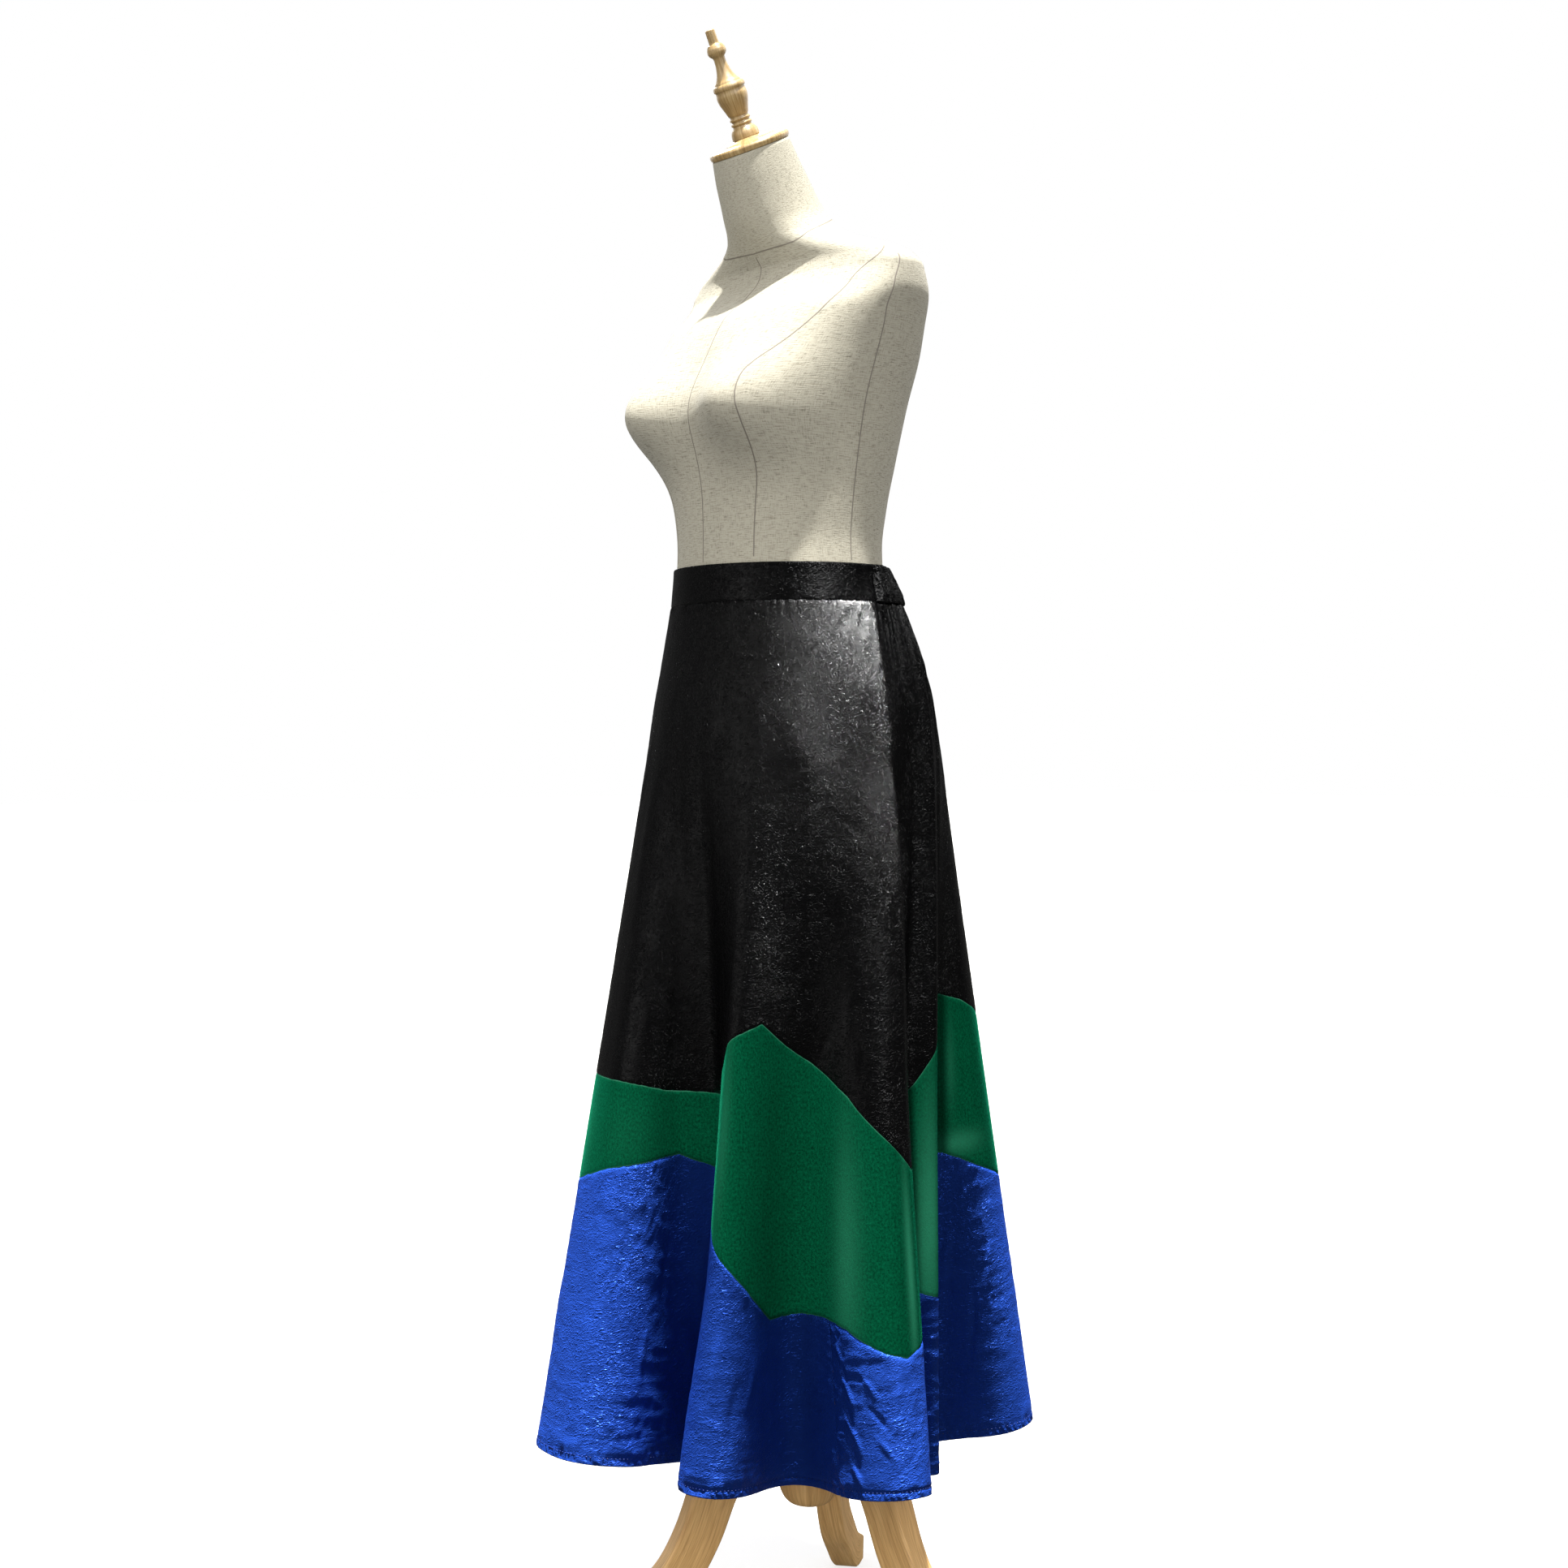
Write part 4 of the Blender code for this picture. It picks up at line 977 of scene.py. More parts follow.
def row_drops(top, bottom, row):
    """Drops of a panel's rows: close together by its edges, then even. One column for each."""
    near = np.array([0.0, 0.0007, 0.0015, 0.0026, 0.0040, 0.0060])
    length = (bottom - top) * SKIRT_LENGTH
    count = max(int(np.median(length) / row), 6)
    share = np.linspace(0.0, 1.0, count + 1)[1:-1]
    inner = near[-1] + (length[None, :] - 2 * near[-1]) * share[:, None]
    upper = np.repeat(near[:, None], len(top), axis=1)
    lower = length[None, :] - near[::-1, None]
    distance = np.concatenate([upper, inner, lower])
    return top[None, :] + distance / SKIRT_LENGTH, distance, length[None, :] - distance


def rolled_edges(height, edges):
    """Height with its creases flat towards the edges, which roll in by their depth."""
    quiet = np.ones_like(height)
    for distance, _ in edges:
        quiet = quiet * (0.35 + 0.65 * ease(distance / EDGE_QUIET))
    height = height * quiet
    for distance, depth in edges:
        height = height - depth * np.clip(1 - distance / EDGE_ROLL, 0.0, 1.0) ** 1.6
    return height


def hemmed(height, along, drop, below):
    """Height with the dent of the hem's stitches, its roping and its pulls."""
    height = height - HEM_DENT * bell(below - HEM_FOLD, 0.0011)
    roped = along / 0.0075 + below / 0.014 + 2.5 * noise(along / 0.03, drop, 41)
    roped = np.sin(2 * math.pi * roped) * noise(along / 0.017, below / 0.02, 47)
    height = height + HEM_ROPING * roped * bell(below - 0.0035, 0.0045)
    pulls = ridged(along / 0.012, below / 0.03, 43)
    return height + HEM_PULL * pulls * ease(below / 0.006) * bell(below, 0.020)


def turned_hem(last, out):
    """Rows of the hem's turn, on the cloth's inside, from its last row."""
    up = np.array([0.0, 0.0, 1.0])
    inside = ((0.0005, -0.0003), (0.0013, 0.0), (0.0016, 0.0030), (0.0015, HEM_FOLD))
    return np.array([last - out * behind + up * above for behind, above in inside])


def clear_of_torso(points):
    """Points of the cloth, moved out where they would lie in the form."""
    bearing, radius = polar(points)
    least = torso_radius(bearing, points[..., 2]) + CLOTH_CLEAR
    low = (radius < least) & (points[..., 2] > TORSO_BOTTOM)
    level = np.where(low[..., None], plan(bearing, least), points[..., :2])
    return np.concatenate([level, points[..., 2:]], axis=-1)


def panel(node, material, cut, amount, sunk, seams, lean=None, hem=False):
    """A panel of cloth on its solid's form, with its creases, its edges rolled in at the seams.

    cut is the places of its columns round the hem, and the drops of its upper and lower edge at
    each. sunk is how far in its upper edge, its lower edge and its sides lie, in metres."""
    columns, top, bottom = cut
    drop, above, below = row_drops(top, bottom, HEM_ROW if hem else ROW)
    along = np.repeat(columns[None, :], len(drop), axis=0)
    if lean is not None:
        along = lean(along, top[None, :], drop)
    from_first, to_last = along - along[:, :1], along[:, -1:] - along
    points, normal = SKIRT.point(along, drop), SKIRT.normal(along, drop)
    creased = VELVET_CREASED if amount == VELVET_CRUSH else 1.0
    height = crinkle(along, drop, amount) + creased * creases(along, drop)
    height = height + gathers_fine(along, drop)
    distances = (above, below, from_first * narrowing(drop), to_last * narrowing(drop))
    edges = [edge for edge in zip(distances, (*sunk, sunk[-1])) if edge[1] is not None]
    height = rolled_edges(height, edges)
    for distance, period, deep in seams(along, drop, above, below, from_first, to_last):
        height = height + deep * bell(distance, PULL_REACH) * period
    if hem:
        height = hemmed(height, along, drop, below)
    points = points + normal * height[..., None]
    if hem:
        points = np.concatenate([points, turned_hem(points[-1], normal[-1])])
        drop, below = (np.concatenate([field, field[-4:][::-1]]) for field in (drop, below))
        along, above, from_first, to_last = (
            np.concatenate([field, field[-4:]]) for field in (along, above, from_first, to_last)
        )
    points = clear_of_torso(points).reshape(-1, 3) + AXIS
    edge = np.minimum.reduce([above, below, from_first, to_last])
    uv = np.stack([along * WEAVE_SHARE, -drop * SKIRT_LENGTH], axis=-1).reshape(-1, 2)
    # The velvet's painted sheen rides on each point as an attribute
    values = {"edge": edge.ravel(), "nap_and_painted_sheen": painted_sheen(along, drop).ravel()}
    cloth = mesh_of(f"cloth_{node}", points, grid_faces(*along.shape), uv, values)
    return settle(cloth, node, material)


def no_seams(*_):
    return ()


def satin_seams(along, drop, above, below, from_first, to_last):
    """Short pulls where the satin is sewn to the velvet and to the band."""
    lower = ridged(along / 0.016, below / 0.05, 51)
    upper = ridged(along / 0.010, above / 0.05, 53)
    return ((below, lower, 0.0002), (above, upper, 0.0005))


def taffeta_seams(along, drop, above, below, from_first, to_last):
    """Short pulls along the taffeta's upper edge and its side seams."""
    top = ridged(along / 0.012, above / 0.05, 61)
    first = ridged((drop * SKIRT_LENGTH - 0.8 * from_first) / 0.013, from_first / 0.06, 63)
    last = ridged((drop * SKIRT_LENGTH + 0.5 * to_last) / 0.011, to_last / 0.06, 67)
    return (
        (above, top, 0.0003),
        (0.55 * from_first, first, 0.0006),
        (0.55 * to_last, last, 0.0006),
    )


def columns_from(first, last, column):
    count = int((last - first) / column)
    return np.linspace(first, last, count + 1)


def leaning(along, top, drop):
    """Places along the lower tier, moved so that its side seams lean towards the hem."""
    share = (drop - top) / (1 - top)
    moved = along.copy()
    for turn, lean in LOWER_SIDE_SEAMS:
        seam = float(SKIRT.along(np.array(turn)))
        for lap in (0.0, SKIRT.hem):
            near = np.clip(1 - np.abs(along - seam - lap) / LOWER_SEAM_SPREAD, 0.0, 1.0)
            moved = moved + lean * SKIRT.front * near * share
    return moved


def panels(made):
    """The six panels, by the node that each one stands for."""
    lap = UNDERLAP / SKIRT_LENGTH
    satin, velvet, taffeta = (made[n] for n in ("black_satin", "green_velvet", "blue_taffeta"))
    cloths = {}
    sides = {"front": (0.0, SKIRT.front), "back": (SKIRT.front, SKIRT.hem)}
    for side, (first, last) in sides.items():
        under, ends = (UNDERLAP, 0.0011) if side == "back" else (0.0, 0.0006)
        columns = columns_from(first - 2 * under, last + 2 * under, COLUMN)
        upper, lower = seam_drop(UPPER_SEAM, columns), seam_drop(LOWER_SEAM, columns)
        node, cut, sunk = f"upper_{side}", (0 * upper - lap, upper + lap), (0.0010, 0.0012, ends)
        cloths[node] = panel(node, satin, (columns, *cut), SATIN_CRUSH, sunk, satin_seams)
        node, cut, sunk = f"middle_{side}", (upper, lower), (0.0006, 0.0006, ends)
        cloths[node] = panel(node, velvet, (columns, *cut), VELVET_CRUSH, sunk, no_seams)
    right, left = (float(SKIRT.along(np.array(turn))) for turn, _ in LOWER_SIDE_SEAMS)
    for side, first, last in (("front", right, left), ("back", left, right + SKIRT.hem)):
        under, ends = (UNDERLAP, 0.0014) if side == "back" else (0.0, 0.0009)
        columns = columns_from(first - under, last + under, HEM_COLUMN)
        lower = seam_drop(LOWER_SEAM, columns)
        node, cut, sunk = f"lower_{side}", (lower - lap, 0 * lower + 1.0), (0.0013, None, ends)
        cloths[node] = panel(
            node, taffeta, (columns, *cut), TAFFETA_CRUSH, sunk, taffeta_seams, leaning, hem=True
        )
    return cloths


def hem_stitches(material):
    """The topstitching that holds the hem's turn, as short threads along its dent."""
    count = int(SKIRT.hem / STITCH_PITCH)
    along = (np.arange(count) + 0.5) * SKIRT.hem / count
    drop = np.full(count, 1 - HEM_FOLD / SKIRT_LENGTH)
    out = SKIRT.normal(along, drop)
    way = unit(SKIRT.point(along + 0.001, drop) - SKIRT.point(along - 0.001, drop))
    side = np.cross(out, way)
    half = 0.5 * STITCH
    corners = (-way * half, side * THREAD, out * THREAD, -side * THREAD, way * half)
    place = SKIRT.point(along, drop) + out * THREAD_LIFT
    points = np.stack([place + corner for corner in corners], axis=1).reshape(-1, 3)
    faces = np.array([(0, 1, 2), (0, 2, 3), (4, 2, 1), (4, 3, 2), (0, 3, 1), (4, 1, 3)])
    faces = (faces[None] + 5 * np.arange(count)[:, None, None]).reshape(-1, 3)
    obj = mesh_of("hem_stitches", points + AXIS, faces, np.zeros((len(points), 2)))
    return settle(obj, None, material, "blue_taffeta")


def band_ripple(bearing):
    """The elastic casing's own gathers."""
    from_seam = (np.asarray(bearing, float) - SIDE_BEARING) % 360.0
    across = np.clip(from_seam / (360.0 - 2 * SIDE_BEARING), 0.0, 1.0)
    ends = within(across, 0.04)
    uneven = 1 + 0.35 * np.sin(2 * math.pi * across * 6.1 + 0.4)
    return BAND_RIPPLE * ends * uneven * (1 + np.cos(2 * math.pi * GATHERS * across))


def waistband(name, node, first, last, ripple, material):
    """The band's outside, rounded over its edges, with the elastic part gathered."""
    count = int(math.radians(last - first) * BAND_RADIUS / BAND_COLUMN) + 1
    columns = np.linspace(first, last, count)
    # Section: distance below the top, distance in from the outer face
    section = [(0.012, BAND_CLOTH), (0.004, BAND_CLOTH), (0.0008, BAND_CLOTH)]
    section += [(0.0001, 0.0018), (0.0000, 0.0012), (0.0002, 0.0006), (0.0009, 0.0001)]
    section += [(down, 0.0) for down in np.linspace(0.002, BAND_HEIGHT - 0.0025, 20)]
    section += [(BAND_HEIGHT - 0.0010, 0.0002), (BAND_HEIGHT - 0.0002, 0.0007)]
    section += [(BAND_HEIGHT + 0.0002, 0.0016)]
    rows = []
    across = (columns - first) / (last - first)
    for down, inside in section:
        height = np.full_like(columns, BAND_TOP - down)
        radius = band_radius(columns, height) - inside
        if ripple:
            sway = 1.4 * noise(across * 20, down / 0.013 + 0 * across, 75)
            fine = ridged(across * 62 + sway, down / 0.022, 71) * 0.0014
            fine = fine + ridged(across * 130 - sway, down / 0.0085, 73) * 0.0007
            ends = within(across, 0.02)
            radius = radius + band_ripple(columns) + fine * ends
            height = height + (0.0007 * ridged(across * 48, 0.5 + 0 * across, 77) - 0.0003) * ends
        else:
            radius = radius + 0.0004 * (noise(columns / 14, down / 0.02, 79) - 0.5)
        rows.append(np.concatenate([plan(columns, radius), height[:, None]], axis=1))
    points = np.array(rows) + AXIS
    downs = np.array([down for down, _ in section])
    edge = np.repeat(np.minimum(downs, BAND_HEIGHT - downs).clip(0), len(columns))
    uv, faces = grid_uv(columns * BAND_RUN, -downs), grid_faces(*points.shape[:2])
    return settle(mesh_of(name, points.reshape(-1, 3), faces, uv, {"edge": edge}), node, material)


def torso(material):
    """The form's linen body, closed at the neck and below."""
    rings = [row[0] for row in TORSO]
    heights = np.concatenate([rings, np.linspace(rings[0], rings[-1], TORSO_ROWS)])
    heights = np.unique(heights)[::-1]
    count, sides = len(heights), TORSO_COLUMNS
    turns = np.arange(sides) / sides
    points = torso_points(heights[:, None], turns[None, :])
    flat = np.concatenate([points.reshape(-1, 3), points[[0, -1]].mean(axis=1)])
    faces = grid_faces(count, sides, closed=True).tolist()
    top, bottom, last = count * sides, count * sides + 1, (count - 1) * sides
    ring = [(a, (a + 1) % sides) for a in range(sides)]
    faces += [(top, a, b) for a, b in ring] + [(bottom, last + b, last + a) for a, b in ring]
    uv = np.concatenate([grid_uv(turns * TORSO_GIRTH, heights), [[0, rings[-1]], [0, rings[0]]]])
    obj = mesh_of("linen_torso", flat + AXIS, faces, uv, round_trip=TORSO_GIRTH)
    return settle(obj, "torso", material)


def seam_ribbon(name, height, turn, material):
    """A narrow raised strip along a line on the torso, in heights and shares of a turn."""
    path, normals = torso_points(height, turn), torso_normal(height, turn)
    side = unit(np.cross(normals, unit(np.gradient(path, axis=0))))
    # Its section: shares of half its width, and of its rise
    shares = ((-1.0, -0.3), (-0.55, 0.75), (0.0, 1.0), (0.55, 0.75), (1.0, -0.3))
    rows = [path + side * (0.5 * SEAM_WIDTH * s) + normals * (SEAM_RISE * r) for s, r in shares]
    points = np.array(rows)
    run = np.concatenate([[0], np.cumsum(np.linalg.norm(np.diff(path, axis=0), axis=1))])
    uv, faces = grid_uv(run, np.arange(len(shares)) * 0.0003), grid_faces(*points.shape[:2])
    return settle(mesh_of(name, points.reshape(-1, 3) + AXIS, faces, uv), None, material, "linen")


def torso_normal(height, turn):
    step = 0.001
    down = torso_points(height - step, turn) - torso_points(height + step, turn)
    across = torso_points(height, turn + step) - torso_points(height, turn - step)
    return unit(np.cross(down, across))


def form_seams(material):
    """The seam lines of the form's cover, the sides' ones on both sides."""
    kernel = np.ones(15) / 15
    for name, rows in FORM_SEAMS.items():
        rows = np.array(rows)
        at = np.linspace(0, len(rows) - 1, 240)
        lines = (np.interp(at, np.arange(len(rows)), column) for column in rows.T)
        lines = (np.pad(line, len(kernel) // 2, mode="edge") for line in lines)
        height, turn = (np.convolve(line, kernel, "valid") for line in lines)
        for side in (1, -1) if rows[0, 1] % 0.5 else (1,):
            label = f"form_seam_{name}" + ("_right" if side < 0 else "")
            seam_ribbon(label, height, side * turn, material)
    turns = np.linspace(0, 1, 200)
    height = through(*np.array(NECK_SEAM).T, 0.5 - np.abs(turns - 0.5))
    seam_ribbon("form_seam_neck", height, turns, material)


def turned(name, node, profile, sides, lean, foot, material, pitch=0.0006):
    """A lathe-turned piece, smooth between its table's rows, its rings pitch metres apart."""
    rows = np.array(profile).T
    run = travel(*rows)
    at = np.linspace(0, run[-1], max(int(run[-1] / pitch), 24))
    height, radius = (through(run, column, at) for column in rows)
    height = np.concatenate([height[:1], height, height[-1:]])
    radius = np.concatenate([[CENTRE], radius, [CENTRE]])
    turns = 2 * math.pi * np.arange(sides) / sides
    x, y = radius[:, None] * np.sin(turns)[None, :], -radius[:, None] * np.cos(turns)[None, :]
    y, z = spun(y, np.repeat(height[:, None], sides, 1), lean)
    points = np.stack([x, y, z], axis=-1) + np.array(foot) + AXIS
    uv, faces = grid_uv(turns * 0.02, height), grid_faces(len(height), sides, closed=True)
    return settle(mesh_of(name, points.reshape(-1, 3), faces, uv), node, material)


def leg(name, node, bearing, material):
    """A curved leg with rounded edges, its root shaped to the hub's round side."""
    rows = np.array(LEG_SIDE).T
    length = travel(*rows[:2])
    at = np.linspace(0.0, length[-1], LEG_RINGS)
    out, height, depth = (through(length, column, at) for column in rows)
    run, fall = np.gradient(out, at), np.gradient(height, at)
    slope = np.hypot(run, fall)
    half, soft = 0.5 * LEG_THICKNESS, LEG_EDGE
    corner = np.radians(np.linspace(0, 90, 6))
    side = half - soft + soft * np.sin(corner)
    level = np.linspace(-(half - soft), half - soft, 6)[1:-1]
    rings, uvs = [], []
    for k in range(len(at)):
        tall = 0.5 * depth[k]
        rise = tall - soft + soft * np.cos(corner)
        flank = np.linspace(tall - soft, -(tall - soft), 8)[1:-1]
        across = (level, side, 0 * flank + half, side[::-1], -level, -side, 0 * flank - half)
        across = np.concatenate([*across, -side[::-1]])
        ups = (0 * level + tall, rise, flank, -rise[::-1], 0 * level - tall, -rise, -flank)
        ups = np.concatenate([*ups, rise[::-1]])
        share = min(at[k] / LEG_ROOT, 1.0)
        up = np.array([-fall[k] / slope[k] * share, share * run[k] / slope[k] + 1 - share])
        root = np.sqrt((HUB_RADIUS + 2 * SEAM_GAP) ** 2 - across**2)
        distance = (out[k] + up[0] * ups) * share + root * (1 - share)
        rings.append(np.stack([across, -distance, np.maximum(height[k] + up[1] * ups, 0)], axis=1))
        around = travel(across, ups)
        uvs.append(np.stack([around, np.full_like(around, at[k])], axis=1))
    points, uv = np.array(rings)[::-1], np.array(uvs)[::-1]
    count, sides = points.shape[:2]
    faces = grid_faces(count, sides, closed=True).tolist()
    faces += [tuple(reversed(range(sides))), tuple((count - 1) * sides + j for j in range(sides))]
    x, y, z = points.reshape(-1, 3).T
    x, y = spun(x, y, bearing)
    obj = mesh_of(name, np.stack([x, y + POLE_Y, z], axis=1) + AXIS, faces, uv.reshape(-1, 2))
    obj.data.set_sharp_from_angle(angle=math.radians(50))
    return settle(obj, node, material)


# Materials


def put(socket, source):
    """Link a socket to what feeds it, or set its value."""
    if hasattr(source, "is_linked"):
        socket.id_data.links.new(source, socket)
    elif socket.type == "RGBA":
        socket.default_value = (*source, 1.0)
    else:
        socket.default_value = source


def node_in(tree, kind, link=(), **values):
    node = tree.nodes.new(kind)
    for key, value in values.items():
        setattr(node, key, value)
    for name, source in link:
        put(node.inputs[name], source)
    return node


class Nodes:
    """One material and its nodes."""

    def __init__(self, name):
        self.material = bpy.data.materials.new(name + "_look")
        self.material["slot"] = name
        self.material.use_nodes = True
        self.tree = self.material.node_tree
        self.place = node_in(self.tree, "ShaderNodeTexCoord").outputs["UV"]

    def noise(self, x, y, turn=0.0, detail=2.0, kind="FBM", rough=0.55, bend=0.0):
        """Noise over the cloth in units of x and y metres, turned by degrees."""
        way = (0.0, 0.0, math.radians(turn))
        link = (("Vector", self.place), ("Scale", (x, y, 1.0)), ("Rotation", way))
        place = node_in(self.tree, "ShaderNodeMapping", link, vector_type="TEXTURE")
        link = [("Vector", place.outputs["Vector"]), ("Scale", 1.0), ("Detail", detail)]
        link += [("Roughness", rough), ("Distortion", bend)]
        return node_in(self.tree, "ShaderNodeTexNoise", link, noise_type=kind).outputs["Fac"]

    def math(self, operation, a, b, clamp=False):
        link, values = ((0, a), (1, b)), {"operation": operation, "use_clamp": clamp}
        return node_in(self.tree, "ShaderNodeMath", link, **values).outputs["Value"]

    def plus(self, base, share, value):
        """base and a share of value."""
        return self.math("ADD", base, self.math("MULTIPLY", value, share))

    def ramp(self, value, stops):
        node = node_in(self.tree, "ShaderNodeValToRGB", [("Fac", value)])
        ramp = node.color_ramp
        while len(ramp.elements) < len(stops):
            ramp.elements.new(0.5)
        for element, (at, colour) in zip(ramp.elements, stops):
            element.position = at
            element.color = (*colour, 1.0)
        return node.outputs["Color"]

    def grey(self, value, start, end, low=0.0, high=1.0):
        """A ramp from one grey to another."""
        return self.ramp(value, ((start, (low,) * 3), (end, (high,) * 3)))

    def mix(self, share, a, b, kind="MIX"):
        link, values = ((0, share), (6, a), (7, b)), {"data_type": "RGBA", "blend_type": kind}
        return node_in(self.tree, "ShaderNodeMix", link, **values).outputs[2]

    def attribute(self, name):
        return node_in(self.tree, "ShaderNodeAttribute", attribute_name=name).outputs["Fac"]

    def bump(self, height, distance, strength=1.0, normal=None):
        link = [("Height", height), ("Distance", distance), ("Strength", strength)]
        if normal is not None:
            link.append(("Normal", normal))
        return node_in(self.tree, "ShaderNodeBump", link).outputs["Normal"]

    def use(self, **sockets):
        for name, source in sockets.items():
            put(self.tree.nodes["Principled BSDF"].inputs[name.replace("_", " ")], source)
        return self.material


def crushed_cloth(name, dark, light, roughness, reach, level, specular, metallic, tint):
    """Satin or taffeta with a permanent crush: short fine creases over the thread.

    reach is the crush's height in metres, level the share of its longest creases."""
    n = Nodes(name)
    creased, crossed, slanted, wide = (
        n.noise(x, y, turn, 2.0, "RIDGED_MULTIFRACTAL", 0.5, bend)
        for x, y, turn, bend in (
            (0.0048, 0.0026, 14.0, 1.4),
            (0.0023, 0.0050, -34.0, 1.2),
            (0.0060, 0.0024, 46.0, 1.0),
            (0.017, 0.0062, 7.0, 0.9),
        )
    )
    height = n.plus(creased, n.grey(n.noise(0.030, 0.045), 0.40, 0.62), crossed)
    height = n.plus(height, n.grey(n.noise(0.050, 0.025), 0.42, 0.60), slanted)
    height = n.plus(height, level, wide)
    crushed = n.grey(n.noise(0.055, 0.075, 25.0, 3.0), 0.36, 0.62, 0.5)
    height = n.math("MULTIPLY", height, crushed)
    thread = n.noise(0.0024, 0.0010, detail=3.0, rough=0.75)
    return n.use(
        Base_Color=n.mix(n.noise(0.02, 0.03, detail=3.0), dark, light),
        Roughness=n.plus(roughness - 0.08, 0.16, n.noise(0.006, 0.010, 20.0)),
        Metallic=metallic,
        Specular_IOR_Level=specular,
        Specular_Tint=tint,
        Normal=n.bump(height, reach, 1.0, n.bump(thread, 0.3 * reach, 0.8)),
    )


def velvet(name):
    """Velvet with a painted sheen where its attribute says and a painted highlight at its edges."""
    n = Nodes(name)
    nap_and_painted_sheen = n.noise(0.0022, 0.0030, detail=4.0, rough=0.8)
    brushed = n.noise(0.010, 0.030, 12.0, 3.0, bend=0.5)
    colour = n.mix(brushed, (0.0006, 0.050, 0.0210), (0.0011, 0.070, 0.0310))
    colour = n.mix(1.0, colour, n.grey(nap_and_painted_sheen, 0.35, 0.65, 0.5, 1.7), "MULTIPLY")
    # Painted sheen: the colour lightened towards a bright green where the attribute says
    colour = n.mix(n.attribute("nap_and_painted_sheen"), colour, (0.024, 0.22, 0.120))
    # Painted highlight: the colour lightened along the panel's edges
    painted_rim_sheen = n.math("SUBTRACT", 1.0, n.math("DIVIDE", n.attribute("edge"), 0.0016, True), True)
    return n.use(
        Base_Color=n.mix(n.math("MULTIPLY", painted_rim_sheen, 0.7), colour, (0.045, 0.20, 0.125)),
        Roughness=0.9,
        Specular_IOR_Level=0.0,
        Sheen_Weight=0.24,
        Sheen_Roughness=0.30,
        Sheen_Tint=(0.03, 0.66, 0.36),
        Normal=n.bump(nap_and_painted_sheen, 0.0008, 0.5, n.bump(brushed, 0.0006, 0.5)),
    )


def linen(name):
    """Coarse linen: warp and weft, thick threads, dark flecks and a little age."""
    n = Nodes(name)
    warp, weft = n.noise(0.00075, 0.009, rough=0.7), n.noise(0.009, 0.00075, rough=0.7)
    both = n.plus(n.math("MULTIPLY", warp, 0.8), 1.2, weft)
    tone = n.ramp(both, ((0.72, (0.18, 0.170, 0.132)), (1.14, (0.43, 0.411, 0.340))))
    slub = n.noise(0.016, 0.0013, 1.0, 3.0, rough=0.6)
    slub = n.ramp(slub, ((0.56, (1, 1, 1)), (0.72, (0.70, 0.68, 0.64))))
    colour = n.mix(1.0, tone, slub, "MULTIPLY")
    fleck = n.grey(n.noise(0.0024, 0.0008, 3.0), 0.68, 0.80, high=0.28)
    colour = n.mix(fleck, colour, (0.15, 0.125, 0.09))
    aged = n.math("MULTIPLY", n.noise(0.12, 0.16, detail=3.0), 0.25)
    return n.use(
        Base_Color=n.mix(aged, colour, (0.30, 0.275, 0.22)),
        Roughness=0.92,
        Specular_IOR_Level=0.1,
        Sheen_Weight=0.08,
        Sheen_Roughness=0.5,
        Normal=n.bump(both, 0.0005, 0.6),
    )


def wood(name, dark, middle, light, roughness, coat, grain):
    """Varnished wood; grain is the size of its streaks across and along, in metres."""
    n = Nodes(name)
    x, y = grain
    streak = n.noise(x, y, detail=4.0, rough=0.65, bend=0.4)
    pores = n.noise(x * 0.22, y * 0.5, rough=0.6)
    both = n.plus(n.math("MULTIPLY", streak, 0.7), 0.3, n.noise(x * 5, y * 3))
    colour = n.ramp(both, ((0.30, dark), (0.48, middle), (0.68, light)))
    return n.use(
        Base_Color=n.mix(0.7, colour, n.grey(pores, 0.28, 0.42, 0.45), "MULTIPLY"),
        Roughness=roughness,
        Coat_Weight=coat,
        Coat_Roughness=0.25,
        Normal=n.bump(pores, 0.00025, 0.35),
    )


def plain(name, colour, roughness):
    n = Nodes(name)
    shade = n.mix(n.noise(0.0008, 0.0003), tuple(0.8 * c for c in colour), colour)
    return n.use(Base_Color=shade, Roughness=roughness)


def materials():
    """The materials, by name."""
    made = (
        crushed_cloth(
            "black_satin",
            dark=(0.0010, 0.0010, 0.0013),
            light=(0.0018, 0.0018, 0.0022),
            roughness=0.26,
            reach=0.0010,
            level=0.2,
            specular=0.2,
            metallic=0.0,
            tint=(1.0, 1.0, 1.0),
        ),
        velvet("green_velvet"),
        crushed_cloth(
            "blue_taffeta",
            dark=(0.0094, 0.040, 0.265),
            light=(0.0140, 0.0585, 0.370),
            roughness=0.42,
            reach=0.0009,
            level=0.45,
            specular=0.2,
            metallic=0.35,
            tint=(0.25, 0.40, 1.0),
        ),
        linen("linen"),
        wood(
            "turned_wood",
            dark=(0.17, 0.100, 0.034),
            middle=(0.33, 0.215, 0.082),
            light=(0.52, 0.40, 0.20),
            roughness=0.42,
            coat=0.20,
            grain=(0.0014, 0.030),
        ),
        wood(
            "stand_wood",
            dark=(0.38, 0.20, 0.066),
            middle=(0.60, 0.35, 0.125),
            light=(0.80, 0.52, 0.22),
            roughness=0.55,
            coat=0.08,
            grain=(0.0018, 0.060),
        ),
        # Seam lines: a thread colour, darkened to paint the shade along the seams
        plain("seam_thread_and_painted_shade", (0.20, 0.18, 0.15), 0.9),
        plain("blue_thread", (0.006, 0.020, 0.14), 0.5),
    )
    return {material["slot"]: material for material in made}


def lamp(kind, name, power, place, target, **settings):
    """A lamp that shines from its place at its target."""
    light = bpy.data.lights.new(name, kind)
    light.energy = power
    for key, value in settings.items():
        setattr(light, key, value)
    obj = placed(name, light)
    obj.location = place
    obj.rotation_euler = (Vector(target) - Vector(place)).to_track_quat("-Z", "Y").to_euler()
    return obj


